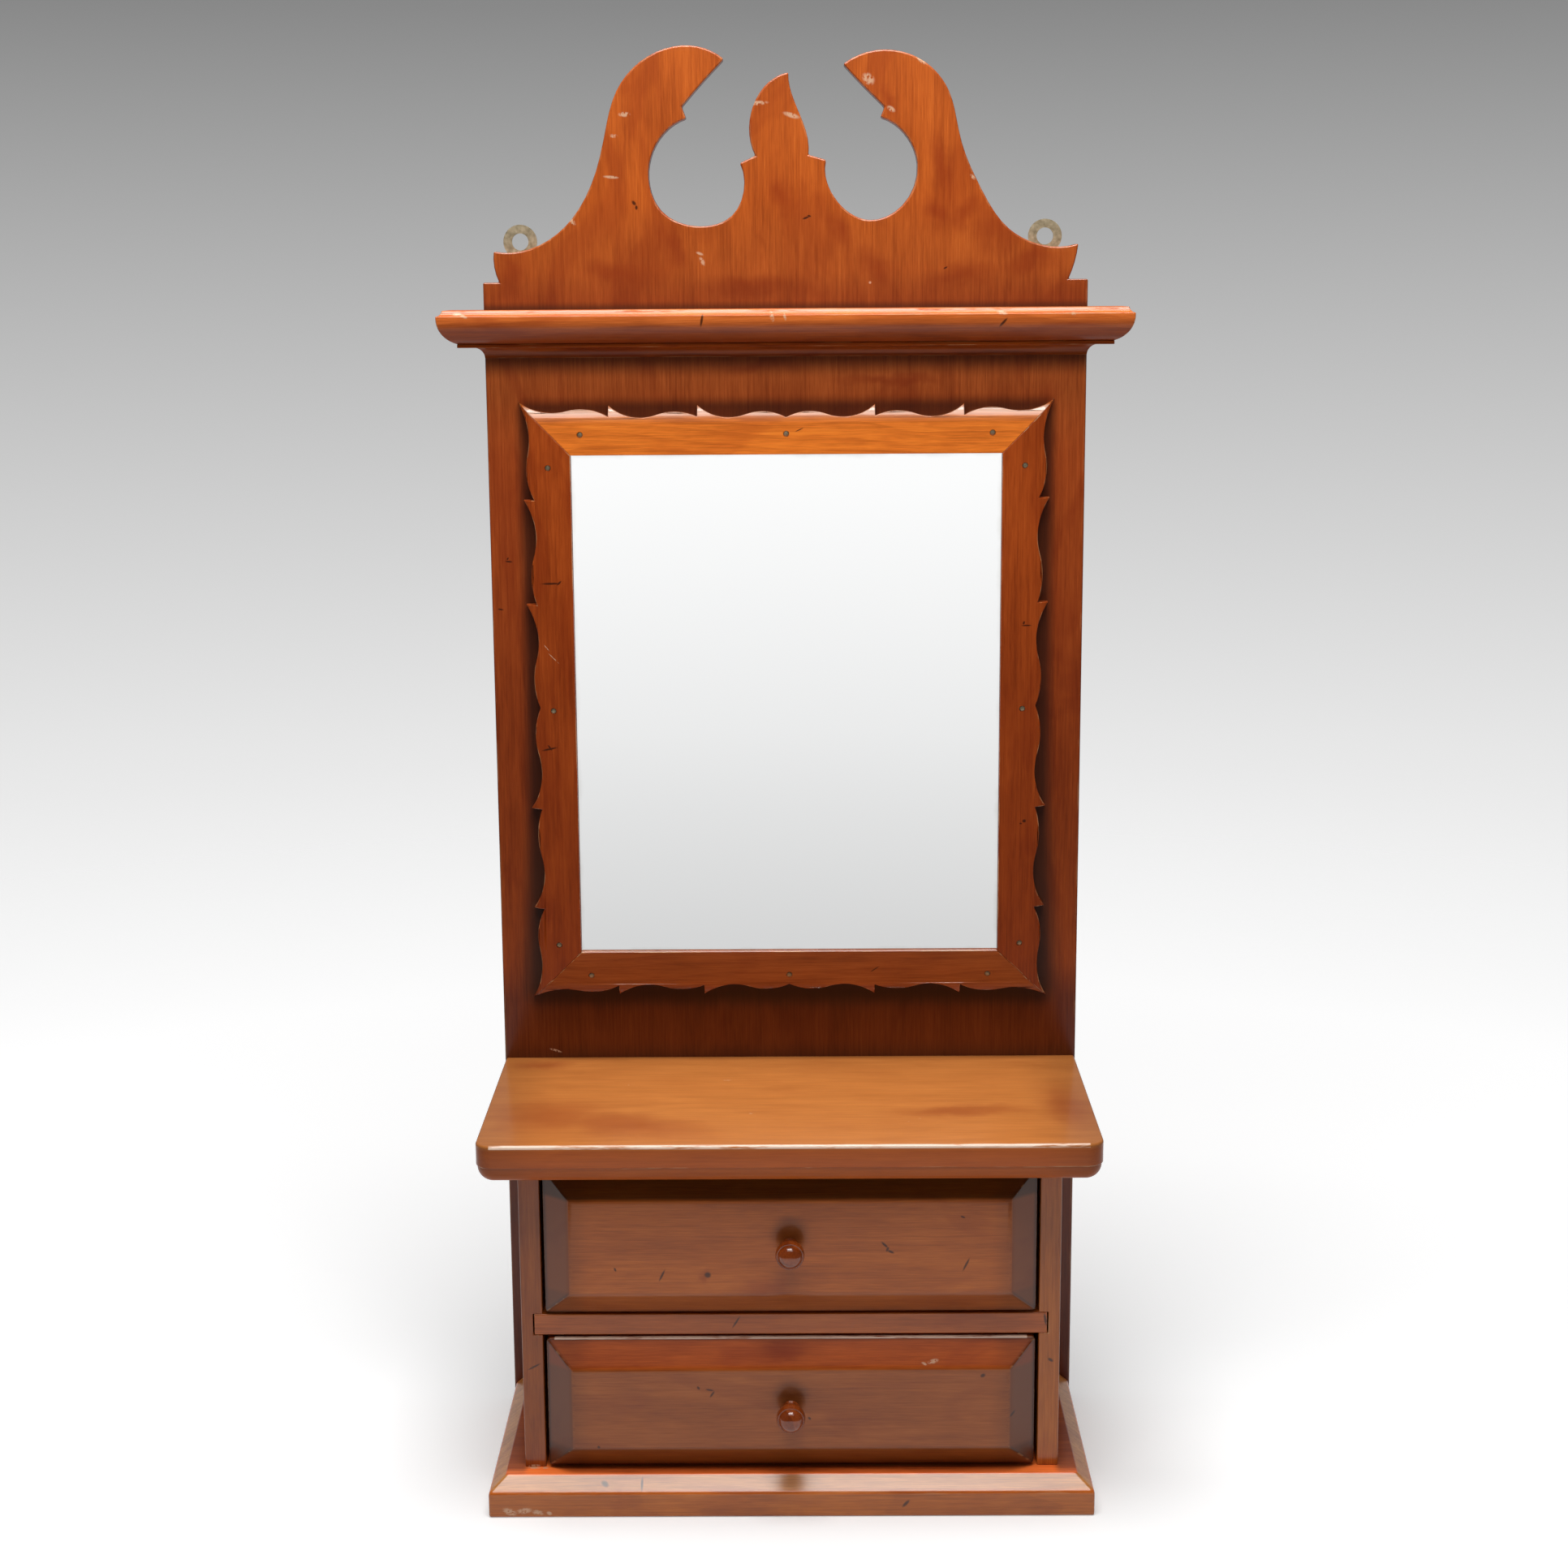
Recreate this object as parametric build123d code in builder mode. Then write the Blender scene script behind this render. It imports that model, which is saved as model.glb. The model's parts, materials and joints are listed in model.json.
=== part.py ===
"""Wall shaving mirror with two drawers, in pine.

A tall back board with a cut scroll crest carries everything: a moulded cornice, a mitred
frame with a mirror in it, and below them a case with two drawers between a shelf and a base.
Millimetres. +X is to the right, +Y goes back to the wall and +Z is up. The origin lies on
the underside, in the middle of the footprint.
"""
from math import atan2, degrees
import os

from build123d import *

os.makedirs("parts", exist_ok=True)

# Back board and its crest
board_width = 330.0
board_thickness = 12.0
crest_foot_rise = 14.7
crest_drawn_width = 330.0

# Heights of the case, from the floor up
base_thickness = 21.0
lower_opening_height = 77.0
divider_thickness = 12.0
upper_opening_height = 84.4
shelf_thickness = 21.0

# Base
base_side_step = 1.0
base_depth = 141.5
base_bevel_run = 9.0
base_bevel_drop = 7.0
base_edge_round = 1.2

# Shelf
shelf_side_step = 0.5
shelf_depth = 153.5
shelf_corner_radius = 9.5
shelf_under_height = 8.8
shelf_under_step = 0.7
shelf_under_round = 8.2
shelf_top_round = 1.3

# Case
case_inset = 19.5
case_depth = 124.0
side_thickness = 11.5
side_edge_round = 0.8
dado_depth = 5.2
divider_tongue = 4.5
divider_edge_round = 0.8

# Cornice
cornice_top_height = 641.5
cornice_thickness = 18.0
cornice_overhang = 23.4
cornice_top_round = 3.0
cornice_under_run = 10.4
cornice_under_rise = 13.6
cove_overhang = 13.4
cove_height = 8.0
cove_fillet_height = 2.0
cove_radius = 6.0

# Frame of the mirror, and how much of the board shows round it
frame_side_gap = 17.5
frame_gap_over_shelf = 37.05
frame_gap_under_cove = 23.55
moulding_width = 29.0
moulding_thickness = 12.0
moulding_flat = 18.8
moulding_flat_thickness = 9.4
moulding_edge_thickness = 1.2
rabbet_width = 7.0
rabbet_depth = 9.0
glass_thickness = 3.0
glass_clearance = 1.0

# Scalloped outer edge of the frame: widths over the inner edge, and one bay's share of half
# the side
bay_share_across = 0.3308
bay_share_upright = 0.3417
scallop_middle = 20.0
scallop_crown = 23.2
scallop_hollow = 20.1
scallop_lip = 26.8
scallop_notch = 20.6
scallop_end_crown = 24.8
scallop_end_hollow = 22.9
crown_place = 0.28
turn_place = 0.46
hollow_place = 0.62

# Drawers
drawer_side_gap = 1.8
drawer_end_gap = 1.5
drawer_run_gap = 0.3
drawer_back_gap = 0.5
drawer_proud = 0.5
drawer_front_thickness = 19.0
drawer_bevel_run = 14.2
drawer_bevel_depth = 10.5
drawer_corner_radius = 2.5
drawer_field_round = 8.0
drawer_wall = 9.0
drawer_wall_drop = 4.0
drawer_rabbet = 4.5
drawer_bottom_thickness = 3.5
drawer_bottom_height = 5.0
groove_depth = 4.0
groove_clearance = 0.2

# Knobs
knob_head_radius = 7.8
knob_head_centre = 11.0
knob_foot_radius = 5.0
knob_waist_radius = 4.0
knob_waist_place = 2.6
knob_step_place = 14.2
knob_step = 0.5
knob_screw_radius = 1.6
knob_screw_grip = 8.0
knob_screw_head_radius = 3.6
knob_screw_head_height = 2.2

# Hanger plates on the back
hanger_ring_radius = 9.2
hanger_hole_radius = 4.55
hanger_thickness = 1.2
hanger_stem_width = 11.0
hanger_stem_length = 31.0
hanger_screw_places = (15.0, 25.0)
left_hanger_inset = 19.7
right_hanger_inset = 22.7
left_hanger_rise = 21.8
right_hanger_rise = 23.2

# Fasteners
screw_radius = 1.75
screw_head_radius = 3.6
screw_length = 32.0
screw_slot_width = 0.9
screw_slot_depth = 1.0
screw_sink = 0.3
screw_clearance = 0.05
hole_spare = 1.0
screw_spread = 120.0
small_screw_radius = 1.4
small_screw_head_radius = 2.55
small_screw_length = 10.0
pin_radius = 0.75
pin_head_radius = 1.6
pin_head_height = 0.7
pin_length = 17.0
pin_sink = 0.7
pin_edge_distance = 12.6
pin_end_distance = 5.4
pin_drop = 1.5
nail_radius = 0.8
nail_head_radius = 1.5
nail_head_height = 0.6
nail_length = 20.0
nail_end_distance = 16.0

# What follows from the driving sizes
base_width = board_width - 2 * base_side_step
shelf_width = board_width - 2 * shelf_side_step
case_inner_width = board_width - 2 * (case_inset + side_thickness)
base_top = base_thickness
divider_floor = base_top + lower_opening_height
upper_floor = divider_floor + divider_thickness
shelf_floor = upper_floor + upper_opening_height
shelf_top = shelf_floor + shelf_thickness
wall_y = (base_depth + board_thickness) / 2
face_y = wall_y - board_thickness
case_front_y = face_y - case_depth
side_centre_x = (case_inner_width + side_thickness) / 2
cornice_floor = cornice_top_height - cornice_thickness
crest_foot_height = cornice_top_height + crest_foot_rise
sight_width = board_width - 2 * (frame_side_gap + moulding_width)
sight_top = cornice_floor - cove_height - frame_gap_under_cove - moulding_width
sight_bottom = shelf_top + frame_gap_over_shelf + moulding_width
sight_height = sight_top - sight_bottom
sight_centre_height = (sight_top + sight_bottom) / 2
case_height = shelf_floor - base_top
card_thickness = rabbet_depth - glass_thickness
BACKWARD = (0, 1, 0)
FORWARD = (0, -1, 0)
DOWN = (0, 0, -1)


def keep(piece, name):
    """Label a finished piece and write it to its own file."""
    piece.part.label = name
    export_step(piece.part, f"parts/{name}.step")


def facing(points, direction):
    """Planes at the points, each looking out along the direction."""
    return [Plane(origin=point, z_dir=direction) for point in points]


def wood_screw(radius, head_radius, length, sink):
    """A countersunk slotted screw that points down, its head sunk below the origin."""
    cone = head_radius - radius
    with BuildPart() as screw:
        with BuildSketch(Plane.XZ):
            with BuildLine():
                Polyline(
                    (0, -sink),
                    (head_radius, -sink),
                    (radius, -sink - cone),
                    (radius, radius - length),
                    (0, -length),
                    close=True,
                )
            make_face()
        revolve(axis=Axis.Z)
        with BuildSketch(Plane.XY.offset(-sink)):
            Rectangle(2 * head_radius, screw_slot_width)
        extrude(amount=-screw_slot_depth, mode=Mode.SUBTRACT)
    return screw.part


def nail(radius, head_radius, head_height, length, sink):
    """A round headed nail that points down, its head sunk below the origin."""
    with BuildPart() as pin:
        with BuildSketch(Plane.XZ):
            with BuildLine():
                Polyline(
                    (0, -sink),
                    (head_radius, -sink),
                    (head_radius, -sink - head_height),
                    (radius, -sink - head_height),
                    (radius, radius - length),
                    (0, -length),
                    close=True,
                )
            make_face()
        revolve(axis=Axis.Z)
    return pin.part


def group(shape, places, name):
    """The same fastener at every place, written as one node of separate solids."""
    with BuildPart() as fasteners:
        with Locations(*places):
            add(shape)
    keep(fasteners, name)


# The crest is drawn for a board of crest_drawn_width, as distances from the middle line and
# heights over the step where the full width of the board ends. It was cut by hand, and the
# two sides differ a little.
left_ear = [(-156.1, 0), (-158.6, 8), (-158.7, 16.6)]
left_flank = [
    (-158.7, 16.6), (-140, 17.4), (-122.2, 27.1), (-105.3, 50.7), (-97.5, 76.2),
    (-89.9, 101.5), (-73.7, 118.2), (-52.1, 124.1), (-32.3, 116.9),
]
left_hook = [(-32.3, 116.9), (-43.3, 105.6), (-55.3, 92.2)]
left_eye = [
    (-52.9, 86.1), (-66, 77.4), (-73.7, 58.6), (-67.4, 38), (-47, 29.3), (-28.7, 34.9),
    (-21.9, 52.7), (-24.2, 62.5),
]
finial_left = [(-15.8, 66.3), (-18.7, 85.2), (-9.9, 103.3), (2.3, 109.8)]
finial_right = [(2.3, 109.8), (6.7, 91.8), (12.6, 75.5), (12.9, 66.7)]
right_eye = [
    (22.5, 63.9), (25.3, 46.8), (45.6, 32.1), (63.8, 39.8), (71.8, 61.6), (65.8, 76.5),
    (51.8, 86.1),
]
right_hook = [(54, 91.5), (43.5, 101.6), (31.7, 113.8)]
right_flank = [
    (31.7, 113.8), (45, 120.1), (59.4, 120.9), (77.5, 113.5), (88.3, 100.4), (95.1, 74.9),
    (105.9, 49.3), (122.4, 26.5), (140, 18.2), (159.5, 18.9),
]
right_ear = [(159.5, 18.9), (157.6, 9), (154.3, 0)]


def on_board(points):
    """Crest points moved to the board as it is."""
    stretch = board_width / crest_drawn_width
    return [(x * stretch, crest_foot_height + z) for x, z in points]


# Places of the fasteners
screw_xs = (-screw_spread, 0, screw_spread)
middle_of_shelf = shelf_floor + shelf_thickness / 2
side_screw_heights = (base_top + lower_opening_height / 2, upper_floor + upper_opening_height / 2)
shelf_screws = [(x, middle_of_shelf) for x in screw_xs]
base_screws = [(x, base_thickness / 2) for x in screw_xs]
cornice_screws = [(x, cornice_floor + cornice_thickness / 2) for x in screw_xs]
left_side_screws = [(-side_centre_x, z) for z in side_screw_heights]
right_side_screws = [(side_centre_x, z) for z in side_screw_heights]
back_screw_places = (
    shelf_screws + base_screws + cornice_screws + left_side_screws + right_side_screws
)
foot_screw_ys = (case_front_y + case_depth / 4, face_y - case_depth / 4)
foot_screws = [(x, y) for x in (-side_centre_x, side_centre_x) for y in foot_screw_ys]
screw_hole_radius = screw_radius + screw_clearance
countersink_radius = screw_head_radius + screw_sink + screw_clearance
screw_in_wood = screw_length - board_thickness + hole_spare

hanger_spots = {
    "left": (left_hanger_inset - board_width / 2, crest_foot_height + left_hanger_rise),
    "right": (board_width / 2 - right_hanger_inset, crest_foot_height + right_hanger_rise),
}
hanger_screw_spots = [
    (x, height - place) for x, height in hanger_spots.values() for place in hanger_screw_places
]

pin_x = sight_width / 2 + pin_edge_distance
pin_z = sight_height / 2 + pin_edge_distance
pin_end_x = sight_width / 2 - pin_end_distance
pin_end_z = sight_height / 2 - pin_end_distance
pin_spots = [(x, z) for x in (-pin_end_x, 0, pin_end_x) for z in (-pin_z, pin_z)]
pin_spots += [(x, z) for x in (-pin_x, pin_x) for z in (-pin_end_z, 0, pin_end_z)]
moulding_slope = (moulding_thickness - moulding_flat_thickness) / moulding_flat
pin_inner_edge = pin_edge_distance - pin_head_radius - screw_clearance
pin_face_y = face_y - moulding_thickness + moulding_slope * pin_inner_edge
pin_centre_height = sight_centre_height - pin_drop
pin_places = facing([(x, pin_face_y, pin_centre_height + z) for x, z in pin_spots], FORWARD)


def at_back(spots, y):
    """Planes on the wall side of a board whose back is at y."""
    return facing([(x, y, z) for x, z in spots], BACKWARD)


with BuildPart() as back_board:
    with BuildSketch(Plane.XZ.offset(-wall_y)):
        with BuildLine():
            Polyline(
                on_board(left_ear)[0],
                (-board_width / 2, crest_foot_height),
                (-board_width / 2, 0),
                (board_width / 2, 0),
                (board_width / 2, crest_foot_height),
                on_board(right_ear)[-1],
            )
            ThreePointArc(*on_board(left_ear))
            Spline(*on_board(left_flank))
            Spline(*on_board(left_hook))
            Line(on_board(left_hook)[-1], on_board(left_eye)[0])
            Spline(*on_board(left_eye))
            Line(on_board(left_eye)[-1], on_board(finial_left)[0])
            Spline(*on_board(finial_left))
            Spline(*on_board(finial_right))
            Line(on_board(finial_right)[-1], on_board(right_eye)[0])
            Spline(*on_board(right_eye))
            Line(on_board(right_eye)[-1], on_board(right_hook)[0])
            Spline(*on_board(right_hook))
            Spline(*on_board(right_flank))
            ThreePointArc(*on_board(right_ear))
        make_face()
    extrude(amount=board_thickness)
    with Locations(*at_back(back_screw_places, wall_y)):
        CounterSinkHole(screw_hole_radius, countersink_radius, counter_sink_angle=90)
    with Locations(*at_back(hanger_screw_spots, wall_y)):
        Hole(small_screw_radius + screw_clearance, depth=small_screw_length)
    with Locations(*pin_places):
        Hole(pin_radius + screw_clearance, depth=pin_length)
keep(back_board, "back_board")


with BuildPart() as base_board:
    with BuildSketch(Plane.YZ):
        with BuildLine():
            Polyline(
                (face_y, 0),
                (face_y - base_depth, 0),
                (face_y - base_depth, base_thickness - base_bevel_drop),
                (face_y - base_depth + base_bevel_run, base_thickness),
                (face_y, base_thickness),
                close=True,
            )
        make_face()
    extrude(amount=base_width / 2, both=True)
    with BuildSketch(Plane.XZ):
        with BuildLine():
            Polyline(
                (-base_width / 2, 0),
                (-base_width / 2, base_thickness - base_bevel_drop),
                (base_bevel_run - base_width / 2, base_thickness),
                (base_width / 2 - base_bevel_run, base_thickness),
                (base_width / 2, base_thickness - base_bevel_drop),
                (base_width / 2, 0),
                close=True,
            )
        make_face()
    extrude(amount=base_depth, both=True, mode=Mode.INTERSECT)
    base_top_face = base_board.faces().sort_by(Axis.Z)[-1]
    fillet(base_top_face.edges().sort_by(Axis.Y)[:-1], radius=base_edge_round)
    with Locations(*at_back(base_screws, face_y)):
        Hole(screw_hole_radius, depth=screw_in_wood)
    with Locations(*facing([(x, y, 0) for x, y in foot_screws], DOWN)):
        CounterSinkHole(screw_hole_radius, countersink_radius, counter_sink_angle=90)
keep(base_board, "base_board")


with BuildPart() as shelf_board:
    for layer_floor, step in ((shelf_floor, shelf_under_step), (shelf_floor + shelf_under_height, 0)):
        with BuildSketch(Plane.XY.offset(layer_floor)) as shelf_plan:
            with Locations((0, face_y - (shelf_depth - step) / 2)):
                Rectangle(shelf_width - 2 * step, shelf_depth - step)
            fillet(shelf_plan.vertices().sort_by(Axis.Y)[:2], radius=shelf_corner_radius - step)
        extrude(amount=shelf_top - layer_floor)
    under_edges = shelf_board.faces().sort_by(Axis.Z)[0].edges().sort_by(Axis.Y)[:-1]
    fillet(under_edges, radius=shelf_under_round)
    top_edges = shelf_board.faces().sort_by(Axis.Z)[-1].edges().sort_by(Axis.Y)[:-1]
    fillet(top_edges, radius=shelf_top_round)
    with Locations(*at_back(shelf_screws, face_y)):
        Hole(screw_hole_radius, depth=screw_in_wood)
keep(shelf_board, "shelf_board")


def case_side(hand, screws, name):
    """One side of the case, with a dado for the divider; hand is -1 on the left."""
    with BuildPart() as side:
        with Locations((hand * side_centre_x, face_y - case_depth / 2, base_top + case_height / 2)):
            Box(side_thickness, case_depth, case_height)
        front_edges = side.edges().filter_by(Axis.Z).group_by(Axis.Y)[0]
        fillet(front_edges, radius=side_edge_round)
        dado_x = hand * (case_inner_width / 2 + dado_depth / 2)
        dado_z = divider_floor + divider_thickness / 2
        with Locations((dado_x, face_y - case_depth / 2, dado_z)):
            Box(dado_depth, case_depth, divider_thickness, mode=Mode.SUBTRACT)
        with Locations(*at_back(screws, face_y)):
            Hole(screw_hole_radius, depth=screw_in_wood)
        feet = [(hand * side_centre_x, y, base_top) for y in foot_screw_ys]
        with Locations(*facing(feet, DOWN)):
            Hole(screw_hole_radius, depth=screw_length - base_thickness + hole_spare)
    keep(side, name)


case_side(-1, left_side_screws, "case_left_side")
case_side(1, right_side_screws, "case_right_side")


with BuildPart() as divider_board:
    with Locations((0, face_y - case_depth / 2, divider_floor + divider_thickness / 2)):
        Box(case_inner_width + 2 * divider_tongue, case_depth, divider_thickness)
    fillet(divider_board.edges().filter_by(Axis.X).group_by(Axis.Y)[0], radius=divider_edge_round)
keep(divider_board, "divider_board")


def moulded_edge(edge, sign):
    """One moulded edge of the cornice board in section; sign points out over that edge."""
    under_start = (edge, cornice_floor + cornice_under_rise)
    round_start = (edge, cornice_top_height - cornice_top_round)
    round_end = (edge - sign * cornice_top_round, cornice_top_height)
    TangentArc(under_start, (edge - sign * cornice_under_run, cornice_floor), tangent=(0, -1))
    Line(under_start, round_start)
    RadiusArc(round_start, round_end, sign * cornice_top_round)


cornice_front_y = face_y - cornice_overhang
cornice_half = board_width / 2 + cornice_overhang
with BuildPart() as cornice_board:
    with BuildSketch(Plane.YZ):
        with BuildLine():
            moulded_edge(cornice_front_y, -1)
            Polyline(
                (cornice_front_y + cornice_top_round, cornice_top_height),
                (wall_y, cornice_top_height),
                (wall_y, cornice_floor),
                (cornice_front_y + cornice_under_run, cornice_floor),
            )
        make_face()
    extrude(amount=cornice_half, both=True)
    with BuildSketch(Plane.XZ):
        with BuildLine():
            moulded_edge(-cornice_half, -1)
            moulded_edge(cornice_half, 1)
            flat_top = cornice_half - cornice_top_round
            flat_under = cornice_half - cornice_under_run
            Line((-flat_top, cornice_top_height), (flat_top, cornice_top_height))
            Line((-flat_under, cornice_floor), (flat_under, cornice_floor))
        make_face()
    extrude(amount=wall_y + cornice_overhang, both=True, mode=Mode.INTERSECT)
    with Locations((0, face_y + board_thickness / 2, cornice_floor + cornice_thickness / 2)):
        Box(board_width, board_thickness, cornice_thickness, mode=Mode.SUBTRACT)
    with Locations(*at_back(cornice_screws, face_y)):
        Hole(screw_hole_radius, depth=screw_in_wood)
keep(cornice_board, "cornice_board")


def cove_profile(seat, sign):
    """Fillet and cove under the cornice, seated at seat; sign points away from the board."""
    fillet_floor = cornice_floor - cove_fillet_height
    cove_foot = cornice_floor - cove_height
    cove_out = seat + sign * cove_radius
    cove_mid = cove_radius * (1 - 0.7071)
    Polyline(
        (seat, cove_foot),
        (seat, cornice_floor),
        (seat + sign * cove_overhang, cornice_floor),
        (seat + sign * cove_overhang, fillet_floor),
        (cove_out, fillet_floor),
    )
    ThreePointArc(
        (cove_out, fillet_floor),
        (seat + sign * cove_mid, fillet_floor - cove_mid),
        (seat, cove_foot),
    )


cove_half = board_width / 2 + cove_overhang
cove_front_y = face_y - cove_overhang
with BuildPart() as cornice_cove_front:
    with BuildSketch(Plane.YZ):
        with BuildLine():
            cove_profile(face_y, -1)
        make_face()
    extrude(amount=cove_half, both=True)
    with BuildSketch(Plane.XY.offset(cornice_floor)):
        with BuildLine():
            Polyline(
                (-board_width / 2, face_y),
                (-cove_half, cove_front_y),
                (cove_half, cove_front_y),
                (board_width / 2, face_y),
                close=True,
            )
        make_face()
    extrude(amount=-cove_height, mode=Mode.INTERSECT)
keep(cornice_cove_front, "cornice_cove_front")


def cove_return(hand, name):
    """The cove along one edge of the board, mitred to the front one; hand is -1 on the left."""
    with BuildPart() as cove:
        with BuildSketch(Plane.XZ.offset(-wall_y)):
            with BuildLine():
                cove_profile(hand * board_width / 2, hand)
            make_face()
        extrude(amount=board_thickness + cove_overhang)
        with BuildSketch(Plane.XY.offset(cornice_floor)):
            with BuildLine():
                Polyline(
                    (hand * board_width / 2, face_y),
                    (hand * cove_half, cove_front_y),
                    (hand * cove_half, wall_y),
                    (hand * board_width / 2, wall_y),
                    close=True,
                )
            make_face()
        extrude(amount=-cove_height, mode=Mode.INTERSECT)
    keep(cove, name)


cove_return(-1, "cornice_cove_left")
cove_return(1, "cornice_cove_right")


def scallop_bays(tip_along, bay_share):
    """Points of the scalloped edge from the middle out to the corner, one list per bay."""
    bay_length = bay_share * tip_along
    plain = (scallop_crown, scallop_hollow)
    end = (scallop_end_crown, scallop_end_hollow)
    bays = []
    for start, stop, first, (crown, hollow), last in (
        (0, bay_length, scallop_middle, plain, scallop_lip),
        (bay_length, 2 * bay_length, scallop_notch, plain, scallop_lip),
        (2 * bay_length, tip_along, scallop_notch, end, moulding_width),
    ):
        reach = stop - start
        bays.append([
            (start, first),
            (start + crown_place * reach, crown),
            (start + turn_place * reach, (crown + hollow) / 2),
            (start + hollow_place * reach, hollow),
            (stop, last),
        ])
    return bays


def frame_moulding(plane, opening, bay_share, name):
    """One mitred side of the frame. The plane lies at the middle of the side's inner edge on
    the board, its x runs along the side, its y away from the mirror and its z forward."""
    tip_along = opening / 2 + moulding_width
    section_plane = Plane(origin=plane.origin, x_dir=plane.y_dir, z_dir=plane.x_dir)
    with BuildPart() as side:
        with BuildSketch(section_plane):
            with BuildLine():
                Polyline(
                    (moulding_flat, moulding_flat_thickness),
                    (0, moulding_thickness),
                    (0, rabbet_depth),
                    (rabbet_width, rabbet_depth),
                    (rabbet_width, 0),
                    (moulding_width, 0),
                    (moulding_width, moulding_edge_thickness),
                )
                TangentArc(
                    (moulding_flat, moulding_flat_thickness),
                    (moulding_width, moulding_edge_thickness),
                    tangent=(1, -moulding_slope),
                )
            make_face()
        extrude(amount=tip_along)
        with BuildSketch(plane):
            with BuildLine():
                Polyline((tip_along, moulding_width), (opening / 2, 0), (0, 0), (0, scallop_middle))
                bays = scallop_bays(tip_along, bay_share)
                for bay, points in enumerate(bays):
                    ThreePointArc(*points[:3])
                    ThreePointArc(*points[2:])
                    if bay:
                        Line(bays[bay - 1][-1], points[0])
            make_face()
        extrude(amount=moulding_thickness, mode=Mode.INTERSECT)
        mirror(about=section_plane)
        with Locations(*pin_places):
            CounterBoreHole(
                pin_radius + screw_clearance,
                pin_head_radius + screw_clearance,
                counter_bore_depth=pin_sink + pin_head_height,
                depth=pin_length,
            )
    keep(side, name)


frame_sides = {
    "frame_top": ((0, face_y, sight_top), (1, 0, 0), sight_width, bay_share_across),
    "frame_bottom": ((0, face_y, sight_bottom), (-1, 0, 0), sight_width, bay_share_across),
    "frame_left": (
        (-sight_width / 2, face_y, sight_centre_height), (0, 0, 1), sight_height, bay_share_upright,
    ),
    "frame_right": (
        (sight_width / 2, face_y, sight_centre_height), (0, 0, -1), sight_height, bay_share_upright,
    ),
}
for name, (origin, along, opening, bay_share) in frame_sides.items():
    inner_edge = Plane(origin=origin, x_dir=along, z_dir=FORWARD)
    frame_moulding(inner_edge, opening, bay_share, name)


glass_width = sight_width + 2 * (rabbet_width - glass_clearance)
glass_height = sight_height + 2 * (rabbet_width - glass_clearance)
with BuildPart() as mirror_glass:
    with BuildSketch(Plane.XZ.offset(card_thickness - face_y)):
        with Locations((0, sight_centre_height)):
            Rectangle(glass_width, glass_height)
    extrude(amount=glass_thickness)
keep(mirror_glass, "mirror_glass")

with BuildPart() as mirror_backing_card:
    with BuildSketch(Plane.XZ.offset(-face_y)):
        with Locations((0, sight_centre_height)):
            Rectangle(glass_width, glass_height)
    extrude(amount=card_thickness)
keep(mirror_backing_card, "mirror_backing_card")


def hanger(x, height, name):
    """A flat ring on a stem, screwed to the back of the board so that the ring stands over it."""
    with BuildPart() as plate:
        with BuildSketch(Plane.XZ.offset(-wall_y - hanger_thickness)):
            with Locations((x, height)):
                Circle(hanger_ring_radius)
            with Locations((x, height - hanger_stem_length / 2)):
                Rectangle(hanger_stem_width, hanger_stem_length)
            with Locations((x, height - hanger_stem_length)):
                Circle(hanger_stem_width / 2)
            with Locations((x, height)):
                Circle(hanger_hole_radius, mode=Mode.SUBTRACT)
        extrude(amount=hanger_thickness)
        spots = [(x, height - place) for place in hanger_screw_places]
        with Locations(*at_back(spots, wall_y + hanger_thickness)):
            CounterSinkHole(
                small_screw_radius + screw_clearance,
                small_screw_head_radius + screw_clearance,
                counter_sink_angle=90,
            )
    keep(plate, name)


for hand, (x, height) in hanger_spots.items():
    hanger(x, height, f"hanger_{hand}")

small_screw = wood_screw(small_screw_radius, small_screw_head_radius, small_screw_length, 0)
group(small_screw, at_back(hanger_screw_spots, wall_y + hanger_thickness), "hanger_screws")
long_screw = wood_screw(screw_radius, screw_head_radius, screw_length, screw_sink)
group(long_screw, at_back(back_screw_places, wall_y), "back_screws")
group(long_screw, facing([(x, y, 0) for x, y in foot_screws], DOWN), "base_screws")
frame_pin = nail(pin_radius, pin_head_radius, pin_head_height, pin_length, pin_sink)
group(frame_pin, pin_places, "frame_pins")


def knob_profile(seat_y):
    """Half outline of a knob as (radius, y), seated at seat_y and pointing forward."""
    centre_y = seat_y - knob_head_centre
    head_start = (
        knob_waist_radius,
        centre_y + (knob_head_radius**2 - knob_waist_radius**2) ** 0.5,
    )
    step_y = seat_y - knob_step_place
    step_radius = (knob_head_radius**2 - (centre_y - step_y) ** 2) ** 0.5
    dome_radius = step_radius - knob_step
    tip_y = centre_y - knob_head_radius
    return head_start, (knob_head_radius, centre_y), (step_radius, step_y), dome_radius, tip_y


def knob(seat_y, height, name):
    """A turned knob: foot, waist, ball shaped head with a fine step round its dome."""
    head_start, widest, step, dome_radius, tip_y = knob_profile(seat_y)
    with BuildPart() as turned:
        with BuildSketch(Plane.XY.offset(height)):
            with BuildLine():
                Polyline((0, tip_y), (0, seat_y), (knob_foot_radius, seat_y))
                Spline(
                    (knob_foot_radius, seat_y),
                    (knob_waist_radius, seat_y - knob_waist_place),
                    head_start,
                )
                ThreePointArc(head_start, widest, step)
                Line(step, (dome_radius, step[1]))
                Spline(
                    (dome_radius, step[1]),
                    (0, tip_y),
                    tangents=((-0.25, -1), (-1, 0)),
                )
            make_face()
        revolve(axis=Axis((0, 0, height), BACKWARD))
        with Locations(Plane(origin=(0, seat_y, height), z_dir=BACKWARD)):
            Hole(knob_screw_radius + screw_clearance, depth=knob_screw_grip + hole_spare)
    keep(turned, name)


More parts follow.
